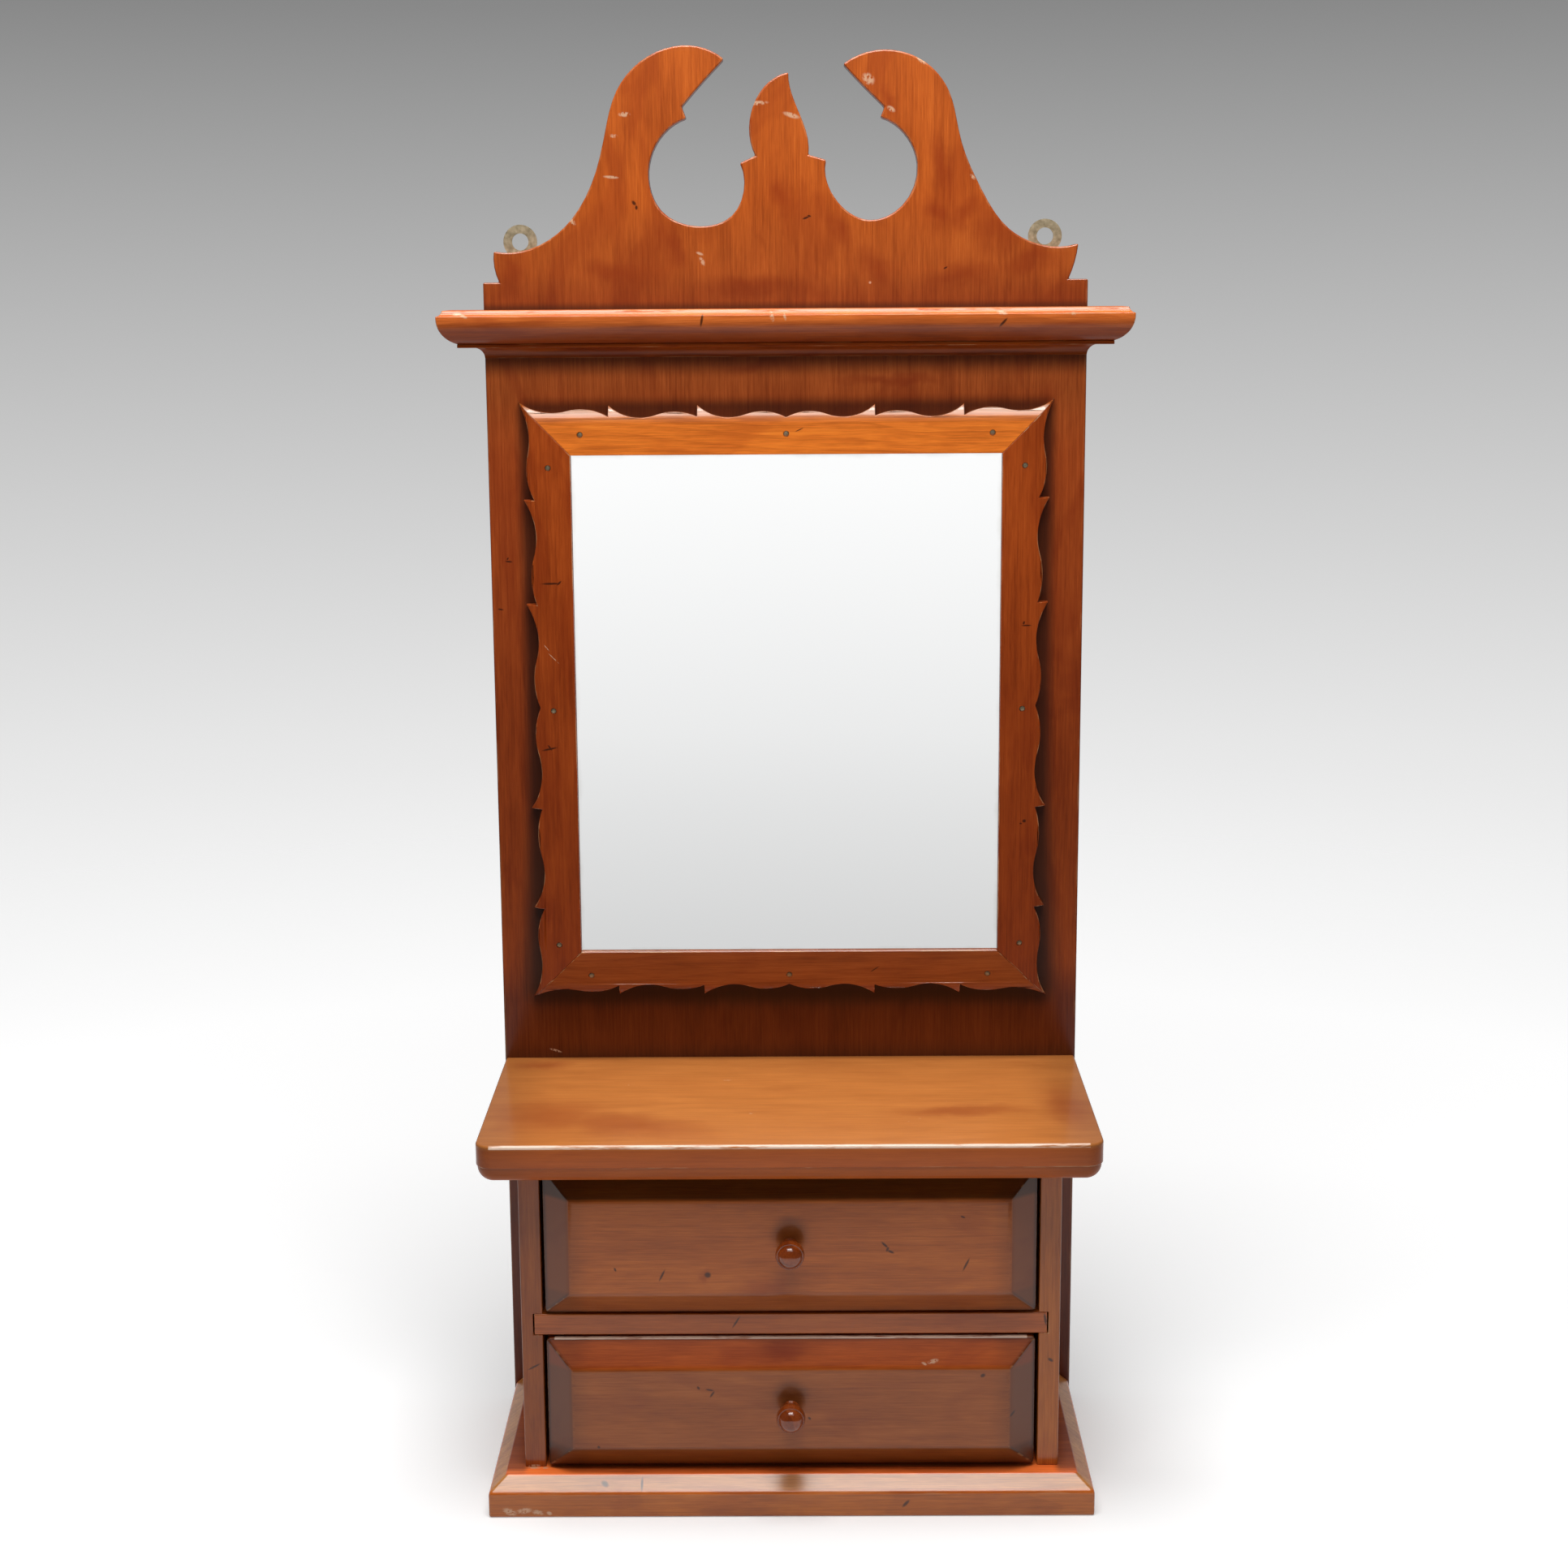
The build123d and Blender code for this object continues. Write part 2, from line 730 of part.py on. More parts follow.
def drawer(floor, opening_height, name):
    """Every piece of one drawer, which runs on floor in an opening of the given height."""
    front_width = case_inner_width - 2 * drawer_side_gap
    front_foot = floor + drawer_end_gap
    front_head = floor + opening_height - drawer_end_gap
    edge_y = case_front_y - drawer_proud
    field_y = edge_y - drawer_bevel_depth
    inside_y = field_y + drawer_front_thickness
    end_y = face_y - drawer_back_gap
    wall_foot = floor + drawer_run_gap
    wall_head = floor + opening_height - drawer_wall_drop
    wall_start_y = inside_y - drawer_rabbet
    inner_width = front_width - 2 * drawer_wall
    bottom_foot = wall_foot + drawer_bottom_height
    bottom_head = bottom_foot + drawer_bottom_thickness
    groove_z = bottom_foot + drawer_bottom_thickness / 2
    groove_height = drawer_bottom_thickness + groove_clearance
    groove_width = inner_width + 2 * groove_depth
    knob_height = (front_foot + front_head) / 2
    nail_heights = (bottom_head + nail_end_distance, wall_head - nail_end_distance)
    nail_ys = (inside_y - drawer_rabbet / 2, end_y - drawer_wall / 2)
    nail_places = []
    for hand in (-1, 1):
        heads = [(hand * front_width / 2, y, z) for y in nail_ys for z in nail_heights]
        nail_places += facing(heads, (hand, 0, 0))
    nail_hole = nail_radius + screw_clearance

    with BuildPart() as front:
        with BuildSketch(Plane.YZ):
            with BuildLine():
                Polyline(
                    (inside_y, front_foot),
                    (edge_y, front_foot),
                    (field_y, front_foot + drawer_bevel_run),
                    (field_y, front_head - drawer_bevel_run),
                    (edge_y, front_head),
                    (inside_y, front_head),
                    close=True,
                )
            make_face()
        extrude(amount=front_width / 2, both=True)
        with BuildSketch(Plane.XY.offset(front_foot)):
            with BuildLine():
                Polyline(
                    (-front_width / 2, inside_y),
                    (-front_width / 2, edge_y),
                    (drawer_bevel_run - front_width / 2, field_y),
                    (front_width / 2 - drawer_bevel_run, field_y),
                    (front_width / 2, edge_y),
                    (front_width / 2, inside_y),
                    close=True,
                )
            make_face()
        extrude(amount=front_head - front_foot, mode=Mode.INTERSECT)
        field_face = front.faces().sort_by(Axis.Y)[0]
        fillet(field_face.edges(), radius=drawer_field_round)
        with BuildSketch(Plane.XZ.offset(-inside_y)):
            with Locations((0, knob_height)):
                RectangleRounded(front_width, front_head - front_foot, drawer_corner_radius)
        extrude(amount=drawer_front_thickness, mode=Mode.INTERSECT)
        rabbet_x = (inner_width + drawer_wall) / 2
        with Locations((-rabbet_x, inside_y - drawer_rabbet / 2, knob_height)):
            Box(drawer_wall, drawer_rabbet, opening_height, mode=Mode.SUBTRACT)
        with Locations((rabbet_x, inside_y - drawer_rabbet / 2, knob_height)):
            Box(drawer_wall, drawer_rabbet, opening_height, mode=Mode.SUBTRACT)
        with Locations((0, inside_y - groove_depth / 2, groove_z)):
            Box(groove_width, groove_depth, groove_height, mode=Mode.SUBTRACT)
        with Locations(Plane(origin=(0, inside_y, knob_height), z_dir=BACKWARD)):
            Hole(knob_screw_radius + screw_clearance)
        with Locations(*nail_places):
            Hole(nail_hole, depth=nail_length)
    keep(front, f"{name}_front")

    for hand, side_name in ((-1, "left"), (1, "right")):
        with BuildPart() as side:
            side_x = hand * (inner_width + drawer_wall) / 2
            side_y = (wall_start_y + end_y) / 2
            with Locations((side_x, side_y, (wall_foot + wall_head) / 2)):
                Box(drawer_wall, end_y - wall_start_y, wall_head - wall_foot)
            groove_x = hand * (inner_width + groove_depth) / 2
            with Locations((groove_x, side_y, groove_z)):
                Box(groove_depth, end_y - wall_start_y, groove_height, mode=Mode.SUBTRACT)
            with Locations(*nail_places):
                CounterBoreHole(
                    nail_hole,
                    nail_head_radius + screw_clearance,
                    counter_bore_depth=nail_head_height,
                    depth=nail_length,
                )
        keep(side, f"{name}_{side_name}_side")

    with BuildPart() as back:
        with Locations((0, end_y - drawer_wall / 2, (bottom_head + wall_head) / 2)):
            Box(inner_width, drawer_wall, wall_head - bottom_head)
        with Locations(*nail_places):
            Hole(nail_hole, depth=nail_length)
    keep(back, f"{name}_back")

    with BuildPart() as bottom:
        bottom_start = inside_y - groove_depth + groove_clearance
        with Locations((0, (bottom_start + end_y) / 2, groove_z)):
            Box(
                groove_width - 2 * groove_clearance,
                end_y - bottom_start,
                drawer_bottom_thickness,
            )
    keep(bottom, f"{name}_bottom")

    knob(field_y, knob_height, f"{name}_knob")

    with BuildPart() as knob_screw:
        with BuildSketch(Plane.XY.offset(knob_height)):
            with BuildLine():
                Polyline(
                    (0, inside_y + knob_screw_head_height),
                    (0, field_y - knob_screw_grip),
                    (knob_screw_radius, field_y - knob_screw_grip + knob_screw_radius),
                    (knob_screw_radius, inside_y),
                    (knob_screw_head_radius, inside_y),
                )
                Spline(
                    (knob_screw_head_radius, inside_y),
                    (0, inside_y + knob_screw_head_height),
                    tangents=((0, 1), (-1, 0)),
                )
            make_face()
        revolve(axis=Axis((0, 0, knob_height), BACKWARD))
        slot_y = inside_y + knob_screw_head_height
        with Locations((0, slot_y, knob_height)):
            Box(
                2 * knob_screw_head_radius,
                2 * screw_slot_depth,
                screw_slot_width,
                mode=Mode.SUBTRACT,
            )
    keep(knob_screw, f"{name}_knob_screw")

    drawer_nail = nail(nail_radius, nail_head_radius, nail_head_height, nail_length, 0)
    group(drawer_nail, nail_places, f"{name}_nails")


drawer(base_top, lower_opening_height, "lower_drawer")
drawer(upper_floor, upper_opening_height, "upper_drawer")
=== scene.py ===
"""Looks of a shaving mirror with two drawers: stained and varnished pine, silvered glass, brass.

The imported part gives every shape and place. Each board is a copy of its own solid with eased,
worn edges; pins, nails and screws come from node trees at the places where the part has them.
Lengths are in metres. Names that end in _mm, the tables of boards, marks and tones and the sizes
of the fasteners are in millimetres.
"""

import json
import math

import bmesh
import bpy
from mathutils import Matrix, Vector


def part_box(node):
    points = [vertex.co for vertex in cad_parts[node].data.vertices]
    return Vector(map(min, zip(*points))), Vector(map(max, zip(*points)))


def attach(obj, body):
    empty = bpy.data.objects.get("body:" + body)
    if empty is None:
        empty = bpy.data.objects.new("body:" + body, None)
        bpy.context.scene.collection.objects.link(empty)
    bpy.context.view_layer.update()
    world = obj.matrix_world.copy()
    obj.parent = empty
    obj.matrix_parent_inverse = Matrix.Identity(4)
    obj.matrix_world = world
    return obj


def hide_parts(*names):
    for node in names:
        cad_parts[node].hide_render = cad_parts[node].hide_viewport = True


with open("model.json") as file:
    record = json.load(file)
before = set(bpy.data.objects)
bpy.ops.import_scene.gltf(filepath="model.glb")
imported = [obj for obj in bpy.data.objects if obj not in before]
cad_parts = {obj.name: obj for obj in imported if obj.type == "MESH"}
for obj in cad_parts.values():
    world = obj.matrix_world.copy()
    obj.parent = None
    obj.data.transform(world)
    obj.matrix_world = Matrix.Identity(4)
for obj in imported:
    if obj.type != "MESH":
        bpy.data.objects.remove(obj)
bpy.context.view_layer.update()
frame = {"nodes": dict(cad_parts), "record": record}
nodes = frame["nodes"]
body_of_node = {n: body for body, held in frame["record"]["behaviour"]["bodies"].items() for n in held}
mm = 0.001
weld_distance = 2e-6
flat_angle = math.radians(0.4)
crease_angle = math.radians(28)
fastener_crease_angle = math.radians(35)


# ---------------------------------------------------------------- node trees


class Wire:
    """An output of a node. Arithmetic on it adds Math nodes to the same tree."""

    def __init__(self, tree, node, socket):
        self.tree, self.node, self.socket = tree, node, socket

    def out(self, name):
        return Wire(self.tree, self.node, self.node.outputs[name])

    def __add__(self, other):
        return self.tree.math("ADD", self, other)

    def __sub__(self, other):
        return self.tree.math("SUBTRACT", self, other)

    def __mul__(self, other):
        return self.tree.math("MULTIPLY", self, other)

    def __truediv__(self, other):
        return self.tree.math("DIVIDE", self, other)

    def __pow__(self, other):
        return self.tree.math("POWER", self, other)

    def __rsub__(self, other):
        return self.tree.math("SUBTRACT", other, self)

    def __rtruediv__(self, other):
        return self.tree.math("DIVIDE", other, self)

    def __abs__(self):
        return self.tree.math("ABSOLUTE", self)

    __radd__ = __add__
    __rmul__ = __mul__


class Tree:
    """A node tree. node() adds any node; the other methods are short names for common ones."""

    def __init__(self, tree):
        self.tree = tree

    def node(self, kind, settings=None, values=None):
        made = self.tree.nodes.new(kind)
        for name, value in (settings or {}).items():
            if name == "stops":
                spread_stops(made.color_ramp, value)
            else:
                setattr(made, name, value)
        for key, value in (values or {}).items():
            socket = made.inputs[key]
            if isinstance(value, Wire):
                self.tree.links.new(value.socket, socket)
            else:
                socket.default_value = value
        return Wire(self, made, next((s for s in made.outputs if s.enabled), None))

    def math(self, operation, *values):
        return self.node("ShaderNodeMath", {"operation": operation}, dict(enumerate(values)))

    def most(self, wires):
        """The largest of any number of values, or None where there are none."""
        largest = None
        for wire in wires:
            largest = wire if largest is None else self.math("MAXIMUM", largest, wire)
        return largest

    def fade(self, value, start, end):
        """0 at start and 1 at end, eased between."""
        settings = {"interpolation_type": "SMOOTHSTEP"}
        return self.node("ShaderNodeMapRange", settings, {0: value, 1: start, 2: end})

    def vector_math(self, operation, *values):
        return self.node("ShaderNodeVectorMath", {"operation": operation}, dict(enumerate(values)))

    def length(self, vector):
        return self.vector_math("LENGTH", vector).out("Value")

    def noise(self, point, stretch, detail, roughness=0.5, distortion=0.0):
        values = {
            "Vector": self.vector_math("MULTIPLY", point, stretch),
            "Scale": 1.0,
            "Detail": detail,
            "Roughness": roughness,
            "Distortion": distortion,
        }
        return self.node("ShaderNodeTexNoise", None, values)

    def mix(self, share, first, second):
        values = {0: share, 6: first, 7: second}
        return self.node("ShaderNodeMix", {"data_type": "RGBA", "blend_type": "MIX"}, values)

    def ramp(self, value, stops):
        return self.node("ShaderNodeValToRGB", {"stops": stops}, {0: value})

    def xyz(self, vector):
        parts = self.node("ShaderNodeSeparateXYZ", None, {0: vector})
        return parts.out("X"), parts.out("Y"), parts.out("Z")

    def place(self):
        """The place on the object, in metres."""
        return self.node("ShaderNodeTexCoord").out("Object")

    def bump(self, strength, depth_mm, height):
        values = {"Strength": strength, "Distance": depth_mm * mm, "Height": height}
        return self.node("ShaderNodeBump", None, values)


def spread_stops(color_ramp, stops):
    """Writes (place, colour) pairs into a colour ramp."""
    elements = color_ramp.elements
    while len(elements) < len(stops):
        elements.new(1.0)
    for element, (place, colour) in zip(elements, stops):
        element.position = place
        element.color = opaque(colour)


def opaque(colour):
    return (*colour[:3], 1.0)


def grey(value):
    return (value, value, value)


def new_finish(name):
    """An empty material and its tree."""
    finish = bpy.data.materials.new(name)
    finish.use_nodes = True
    finish.node_tree.nodes.clear()
    return finish, Tree(finish.node_tree)


def close_finish(tree, surface):
    tree.node("ShaderNodeOutputMaterial", None, {"Surface": surface})


def close_solid(tree, values):
    """Ends a material with a Principled surface that has these values or wires."""
    close_finish(tree, tree.node("ShaderNodeBsdfPrincipled", None, values))


# ---------------------------------------------------------------- stained pine

# Turns that bring the grain of a board onto the pattern's own X.
grain_turns = {"X": (0, 0, 0), "Y": (0, 0, math.radians(-90)), "Z": (0, math.radians(90), 0)}

# The stain from its darkest fibre to its palest.
stain = [
    (0.00, (0.150, 0.027, 0.0045)),
    (0.34, (0.290, 0.059, 0.0095)),
    (0.58, (0.420, 0.096, 0.0165)),
    (1.00, (0.610, 0.170, 0.0340)),
]
reddish_stain = (0.230, 0.031, 0.0054)
# Dark colour laid where shade falls, as painted shade, and in darker joints.
glaze_and_painted_shade = (0.034, 0.0120, 0.0060)
bare_edge = (0.640, 0.360, 0.170)
# Pale of rubbed bare wood, also used for painted highlights and sheen.
rubbed_wood_and_sheen = (0.860, 0.640, 0.500)
dent_dirt = (0.030, 0.0075, 0.0025)
chipped_wood = (0.68, 0.42, 0.26)
even_back_tone = (0.68, 0.54, 0.50)

# Layers of the pattern: stretch per mm along and across the grain, detail, roughness, distortion.
fibre_layer = ((0.020, 0.95, 0.95), 4.0, 0.62)
hair_layer = ((0.090, 3.0, 3.0), 3.0, 0.6)
mottle_layer = ((0.020, 0.08, 0.08), 3.0, 0.55)
wander_layer = ((0.005, 0.022, 0.022), 2.0)
cloud_layer = ((0.011, 0.026, 0.026), 3.0, 0.5, 1.4)
ragged_layer = ((0.5, 0.9, 0.9), 2.0)
rubbed_layer = ((0.05, 0.4, 0.4), 3.0, 0.6)
worn_layer = ((0.035, 0.30, 0.30), 3.0, 0.6)
ring_width_mm, ring_wander_mm = 6.5, 42.0
patch_shake_mm = 8.0
patch_strength, dent_strength, chip_strength = 0.62, 0.86, 0.8

# How far the pattern moves on with each seed, so that no two boards show the same piece of it.
seed_steps_mm = (97.3, 31.7, 53.9)


def toned(stops, tone):
    """Colour stops with each channel multiplied by the tone."""
    return [(place, [min(c * t, 1.0) for c, t in zip(colour, tone)]) for place, colour in stops]


def board_space(tree, place, grain, shift):
    """The place in millimetres, with X along the grain, shifted to another piece of the pattern."""
    values = {"Vector": place, "Rotation": grain_turns[grain], "Scale": (1000, 1000, 1000),
              "Location": shift}
    return tree.node("ShaderNodeMapping", {"vector_type": "POINT"}, values)


def ellipse(tree, point, place_mm, size_mm, turn, axis, soft=0.45):
    """1 inside a small ellipsoid at place, fading to 0 at its rim. turn is about axis, in degrees."""
    angles = {"Y": (0, 1, 0), "Z": (0, 0, 1)}[axis]
    values = {
        "Vector": point,
        "Location": [c * mm for c in place_mm],
        "Rotation": [a * math.radians(turn) for a in angles],
        "Scale": [c * mm for c in size_mm],
    }
    local = tree.node("ShaderNodeMapping", {"vector_type": "TEXTURE"}, values)
    return tree.fade(tree.length(local), 1.0, soft)


def soft_box(tree, point, low_mm, high_mm, soft_mm):
    """1 inside a box of the object's space, fading over the last soft_mm of it."""
    inside = None
    for axis, low, high in zip(tree.xyz(point), low_mm, high_mm):
        share = tree.fade(axis, low * mm, (low + soft_mm) * mm) * tree.fade(
            axis, high * mm, (high - soft_mm) * mm
        )
        inside = share if inside is None else inside * share
    return inside


def shaken(tree, place):
    """The place pushed about a little, which gives soft patches uneven outlines."""
    shake = tree.noise(place, (55, 55, 55), 3.0, 0.55).out("Color")
    reach = patch_shake_mm * mm
    pushed = tree.vector_math("MULTIPLY_ADD", shake, (2 * reach,) * 3, place)
    return tree.vector_math("SUBTRACT", pushed, (reach,) * 3)


def toned_by_height(tree, colour, height, tones_mm, in_front=None):
    """The colour times a tone that changes with height, which paints light and shade by height, but
    times one tone behind the front.
    """
    low_mm, high_mm = tones_mm[0][0], tones_mm[-1][0]
    share = (height - low_mm * mm) / ((high_mm - low_mm) * mm)
    # The tones may pass 1, which a ramp's colours may not be sure to keep, so they are halved.
    stops = [((h - low_mm) / (high_mm - low_mm), [c / 2 for c in t]) for h, t in tones_mm]
    half_tone = tree.ramp(share, stops)
    if in_front is not None:
        half_tone = tree.mix(in_front, opaque([c / 2 for c in even_back_tone]), half_tone)
    return tree.vector_math("MULTIPLY", tree.vector_math("MULTIPLY", colour, half_tone), (2, 2, 2))


def stained_pine(
    name, grain="X", seed=1.0, tone=(1, 1, 1), pith_mm=(60.0, 25.0), figure=0.5, cloud=0.5,
    contrast=1.0, worn=0.0, shade=None, calm=None, painted_light_and_stain_by_height=None, patches=(), dents=(),
    chips=(), rubs_and_highlights=(), painted_sheens=(), roughness=0.42, coat=1.0, coat_fall=None, gloss=0.17, front_mm=None,
):
    """Varnished pine: fibres, growth rings, clouds of stain, dents and bare edges, with painted shade,
    light and sheen.

    grain is the board's long way, and figure, cloud and contrast are the strengths of the rings,
    the clouds and the fibres. shade adds up painted shade, a dark colour laid where shade falls,
    and darker joints from the place on the object. painted_light_and_stain_by_height are
    (height_mm, tone) pairs that paint light and shade by height, over a stain that was partly laid
    on unevenly. calm is 1 where the fibres are evened out under the painted shade. patches are
    soft darker clouds, dents are dark and chips are pale, each as (place_mm, size_mm, turn, axis).
    rubs_and_highlights are (low_mm, high_mm, strength) boxes in which an edge is made pale, partly
    rubbed down to bare wood and partly a painted highlight, and painted_sheens are such boxes in
    which a rounding is smoothly paler, a painted sheen. worn is how bare the whole surface is
    rubbed. coat_fall is (low_mm, high_mm, share): below high_mm the varnish loses its gloss, down
    to that share of it at low_mm. Behind front_mm the board has one even stain, without painted
    light, painted shade or marks.
    """
    finish, tree = new_finish(name)
    place = tree.place()
    x, y, z = tree.xyz(place)
    along, across, deep = (seed * step for step in seed_steps_mm)
    board = board_space(tree, place, grain, (along, 0, 0))
    shifted = tree.vector_math("ADD", board, (0, across, deep))
    fibre = tree.noise(shifted, *fibre_layer)
    hair = tree.noise(shifted, *hair_layer)
    mottle = tree.noise(shifted, *mottle_layer)
    wander = tree.noise(shifted, *wander_layer)
    clouds = tree.noise(shifted, *cloud_layer)
    _, side, depth = tree.xyz(board)
    side, depth = side - pith_mm[0], depth - pith_mm[1]
    from_pith = (side * side + depth * depth) ** 0.5
    ring = tree.math("FRACT", (from_pith + wander * ring_wander_mm) / ring_width_mm)
    late = tree.fade(ring, 0.25, 0.95) * tree.fade(ring, 1.0, 0.96)
    strands = (fibre - 0.5) * 0.58 + (hair - 0.5) * 0.55 + (mottle - 0.5) * 0.5
    level = 0.52 + strands * contrast - late * (0.30 * figure)
    if calm:
        level = level + (0.40 - level) * calm(tree, x, y, z)
    front_only, in_front = None, 1.0
    if front_mm is not None:
        front_only = in_front = tree.fade(y, (front_mm + 3) * mm, front_mm * mm)

    colour = tree.ramp(level, toned(stain, tone))
    reddish = opaque([c * t for c, t in zip(reddish_stain, tone)])
    colour = tree.mix(tree.fade(clouds, 0.52, 0.66) * cloud, colour, reddish)
    if patches:
        uneven = shaken(tree, place)
        patch = tree.most(ellipse(tree, uneven, *mark, soft=0.1) for mark in patches)
        colour = tree.mix(patch * patch_strength * in_front, colour, reddish)
    # Painted light and shade by height.
    if painted_light_and_stain_by_height:
        colour = toned_by_height(tree, colour, z, painted_light_and_stain_by_height, front_only)
    # Painted shade: a dark colour mixed in where shade falls.
    if shade:
        colour = tree.mix(shade(tree, x, y, z) * in_front, colour, opaque(glaze_and_painted_shade))
    relief = fibre * 0.5 + hair * 0.5
    if dents:
        dent = tree.most(ellipse(tree, place, *mark) for mark in dents) * in_front
        colour = tree.mix(dent * dent_strength, colour, opaque(dent_dirt))
        relief = relief - dent * 3.0
    if chips:
        chip = tree.most(ellipse(tree, place, *mark) for mark in chips)
        ragged = tree.fade(tree.noise(board, *ragged_layer), 0.36, 0.52)
        bare = chip * ragged * in_front * chip_strength
        colour = tree.mix(bare, colour, opaque(chipped_wood))
    # Pale edge strips: partly rubbed bare wood, partly a painted highlight.
    for low_mm, high_mm, strength in rubs_and_highlights:
        strip = soft_box(tree, place, low_mm, high_mm, 0.5)
        patchy = tree.fade(tree.noise(board, *rubbed_layer), 0.30, 0.50)
        colour = tree.mix(strip * patchy * strength, colour, opaque(rubbed_wood_and_sheen))
    # Painted sheen: a rounding made smoothly paler.
    for low_mm, high_mm, strength in painted_sheens:
        strip = soft_box(tree, place, low_mm, high_mm, 2.0)
        colour = tree.mix(strip * strength, colour, opaque(rubbed_wood_and_sheen))
    if worn:
        rubbed = tree.fade(tree.noise(board, *worn_layer), 0.50, 0.62)
        colour = tree.mix(rubbed * worn, colour, opaque(bare_edge))
    varnish = coat
    if coat_fall:
        low_mm, high_mm, share = coat_fall
        risen = tree.fade(z, low_mm * mm, high_mm * mm)
        varnish = risen * (coat * (1 - share)) + coat * share
    close_solid(tree, {
        "Base Color": colour,
        "Roughness": roughness + (hair - 0.5) * 0.22,
        "Specular IOR Level": 0.1,
        "Coat Weight": varnish,
        "Coat Roughness": gloss,
        "Normal": tree.bump(0.35 * contrast, 0.06, relief),
    })
    return finish


# ---------------------------------------------------------------- eased boards


def connected(items, neighbours):
    """Splits items into groups that hang together by neighbours(item)."""
    seen, groups = set(), []
    for start in items:
        if start in seen:
            continue
        seen.add(start)
        group, queue = [], [start]
        while queue:
            item = queue.pop()
            group.append(item)
            for other in neighbours(item):
                if other not in seen:
                    seen.add(other)
                    queue.append(other)
        groups.append(group)
    return groups


def corners(points):
    """Lowest and highest corner of the box round some points."""
    low = Vector([min(p[i] for p in points) for i in range(3)])
    high = Vector([max(p[i] for p in points) for i in range(3)])
    return low, high


def in_scene(name, data):
    """A new object in the scene."""
    made = bpy.data.objects.new(name, data)
    bpy.context.scene.collection.objects.link(made)
    return made


def merged_copy(node_name):
    """The solid's own triangles as one closed mesh, flat faces made whole again."""
    mesh = nodes[node_name].data.copy()
    mesh.materials.clear()
    shape = bmesh.new()
    shape.from_mesh(mesh)
    bmesh.ops.remove_doubles(shape, verts=shape.verts, dist=weld_distance)
    bmesh.ops.dissolve_limit(shape, angle_limit=flat_angle, verts=shape.verts, edges=shape.edges)
    shape.to_mesh(mesh)
    shape.free()
    for name in ("custom_normal", "sharp_edge"):
        if name in mesh.attributes:
            mesh.attributes.remove(mesh.attributes[name])
    return mesh


def stand_in(name, mesh, node_name):
    """Puts a mesh in the scene in place of a node of the part."""
    piece = in_scene(name, mesh)
    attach(piece, body_of_node[node_name])
    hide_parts(node_name)


def mark_worn_edges(mesh):
    """Gives every sharp edge a bevel weight, except the rims of small holes."""
    small_rim = 25 * mm
    shape = bmesh.new()
    shape.from_mesh(mesh)
    weight = shape.edges.layers.float.new("bevel_weight_edge")
    sharp = [edge for edge in shape.edges if edge.calc_face_angle(0) > crease_angle]
    sharp_set = set(sharp)

    def next_edges(edge):
        return [o for vertex in edge.verts for o in vertex.link_edges if o in sharp_set]

    for chain in connected(sharp, next_edges):
        low, high = corners([vertex.co for edge in chain for vertex in edge.verts])
        if max(high - low) > small_rim:
            for edge in chain:
                edge[weight] = 1.0
    shape.to_mesh(mesh)
    shape.free()


def eased(node_name, radius_mm, face, edge):
    """A board with its sharp edges rounded over; the rounding takes the edge finish."""
    mesh = merged_copy(node_name)
    mark_worn_edges(mesh)
    rough = in_scene(node_name + "_rough", mesh)
    mesh.materials.append(face)
    mesh.materials.append(edge)
    mesh.polygons.foreach_set("material_index", [0] * len(mesh.polygons))
    mesh.shade_smooth()
    mesh.set_sharp_from_angle(angle=crease_angle)
    round_over = rough.modifiers.new("round_over", "BEVEL")
    round_over.width = radius_mm * mm
    round_over.segments = 2
    round_over.limit_method = "WEIGHT"
    round_over.use_clamp_overlap = False
    round_over.harden_normals = True
    round_over.material = 1
    evaluated = rough.evaluated_get(bpy.context.evaluated_depsgraph_get())
    finished = bpy.data.meshes.new_from_object(evaluated)
    bpy.data.objects.remove(rough)
    stand_in(node_name + "_eased", finished, node_name)


frame_low = Vector(map(min, *[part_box(n)[0] for n in ("frame_left", "frame_bottom")]))
frame_high = Vector(map(max, *[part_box(n)[1] for n in ("frame_right", "frame_top")]))
cornice_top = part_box("cornice_board")[1].z
cove_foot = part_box("cornice_cove_front")[0].z
shelf_low, shelf_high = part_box("shelf_board")
# How far the bevels round a drawer front run in from its rim.
bevel_run = 14.2 * mm


def panel_painted_shade(tree, x, y, z):
    """Painted shade round the frame, darkest below it, along the cornice and above the shelf."""
    centre, half = (frame_low + frame_high) / 2, (frame_high - frame_low) / 2
    out_x = tree.math("MAXIMUM", abs(x - centre.x) - (half.x - 6 * mm), 0.0)
    out_z = tree.math("MAXIMUM", abs(z - centre.z) - (half.z - 6 * mm), 0.0)
    # The painted shade is stronger below the frame, where its shadow falls.
    below = tree.fade(z, centre.z, frame_low.z) * 0.45
    away = (out_x * out_x + out_z * out_z) ** 0.5 * (1.0 - below)
    round_frame = tree.fade(away, 10 * mm, 2 * mm) * (0.78 + below * 0.25)

    def band(edge, thin_mm, full_mm, hidden_mm, start_mm):
        """Painted shade along a level edge, from thin to full; it starts out of sight, behind the
        edge.
        """
        seen = tree.fade(z, edge + thin_mm * mm, edge + full_mm * mm)
        return seen * tree.fade(z, edge + hidden_mm * mm, edge + start_mm * mm)

    over_cornice = band(cornice_top, 22, 0, -10, -4)
    at_cornice = tree.fade(z, cornice_top + 5 * mm, cornice_top) * over_cornice
    under_cornice = band(cove_foot, -13, -1, 20, 10)
    over_shelf = band(shelf_high.z, 12, 0, -12, -4)
    edges = over_cornice * 0.45 + at_cornice * 0.4 + under_cornice * 0.6 + over_shelf * 0.35
    return tree.math("MINIMUM", round_frame + edges, 0.90)


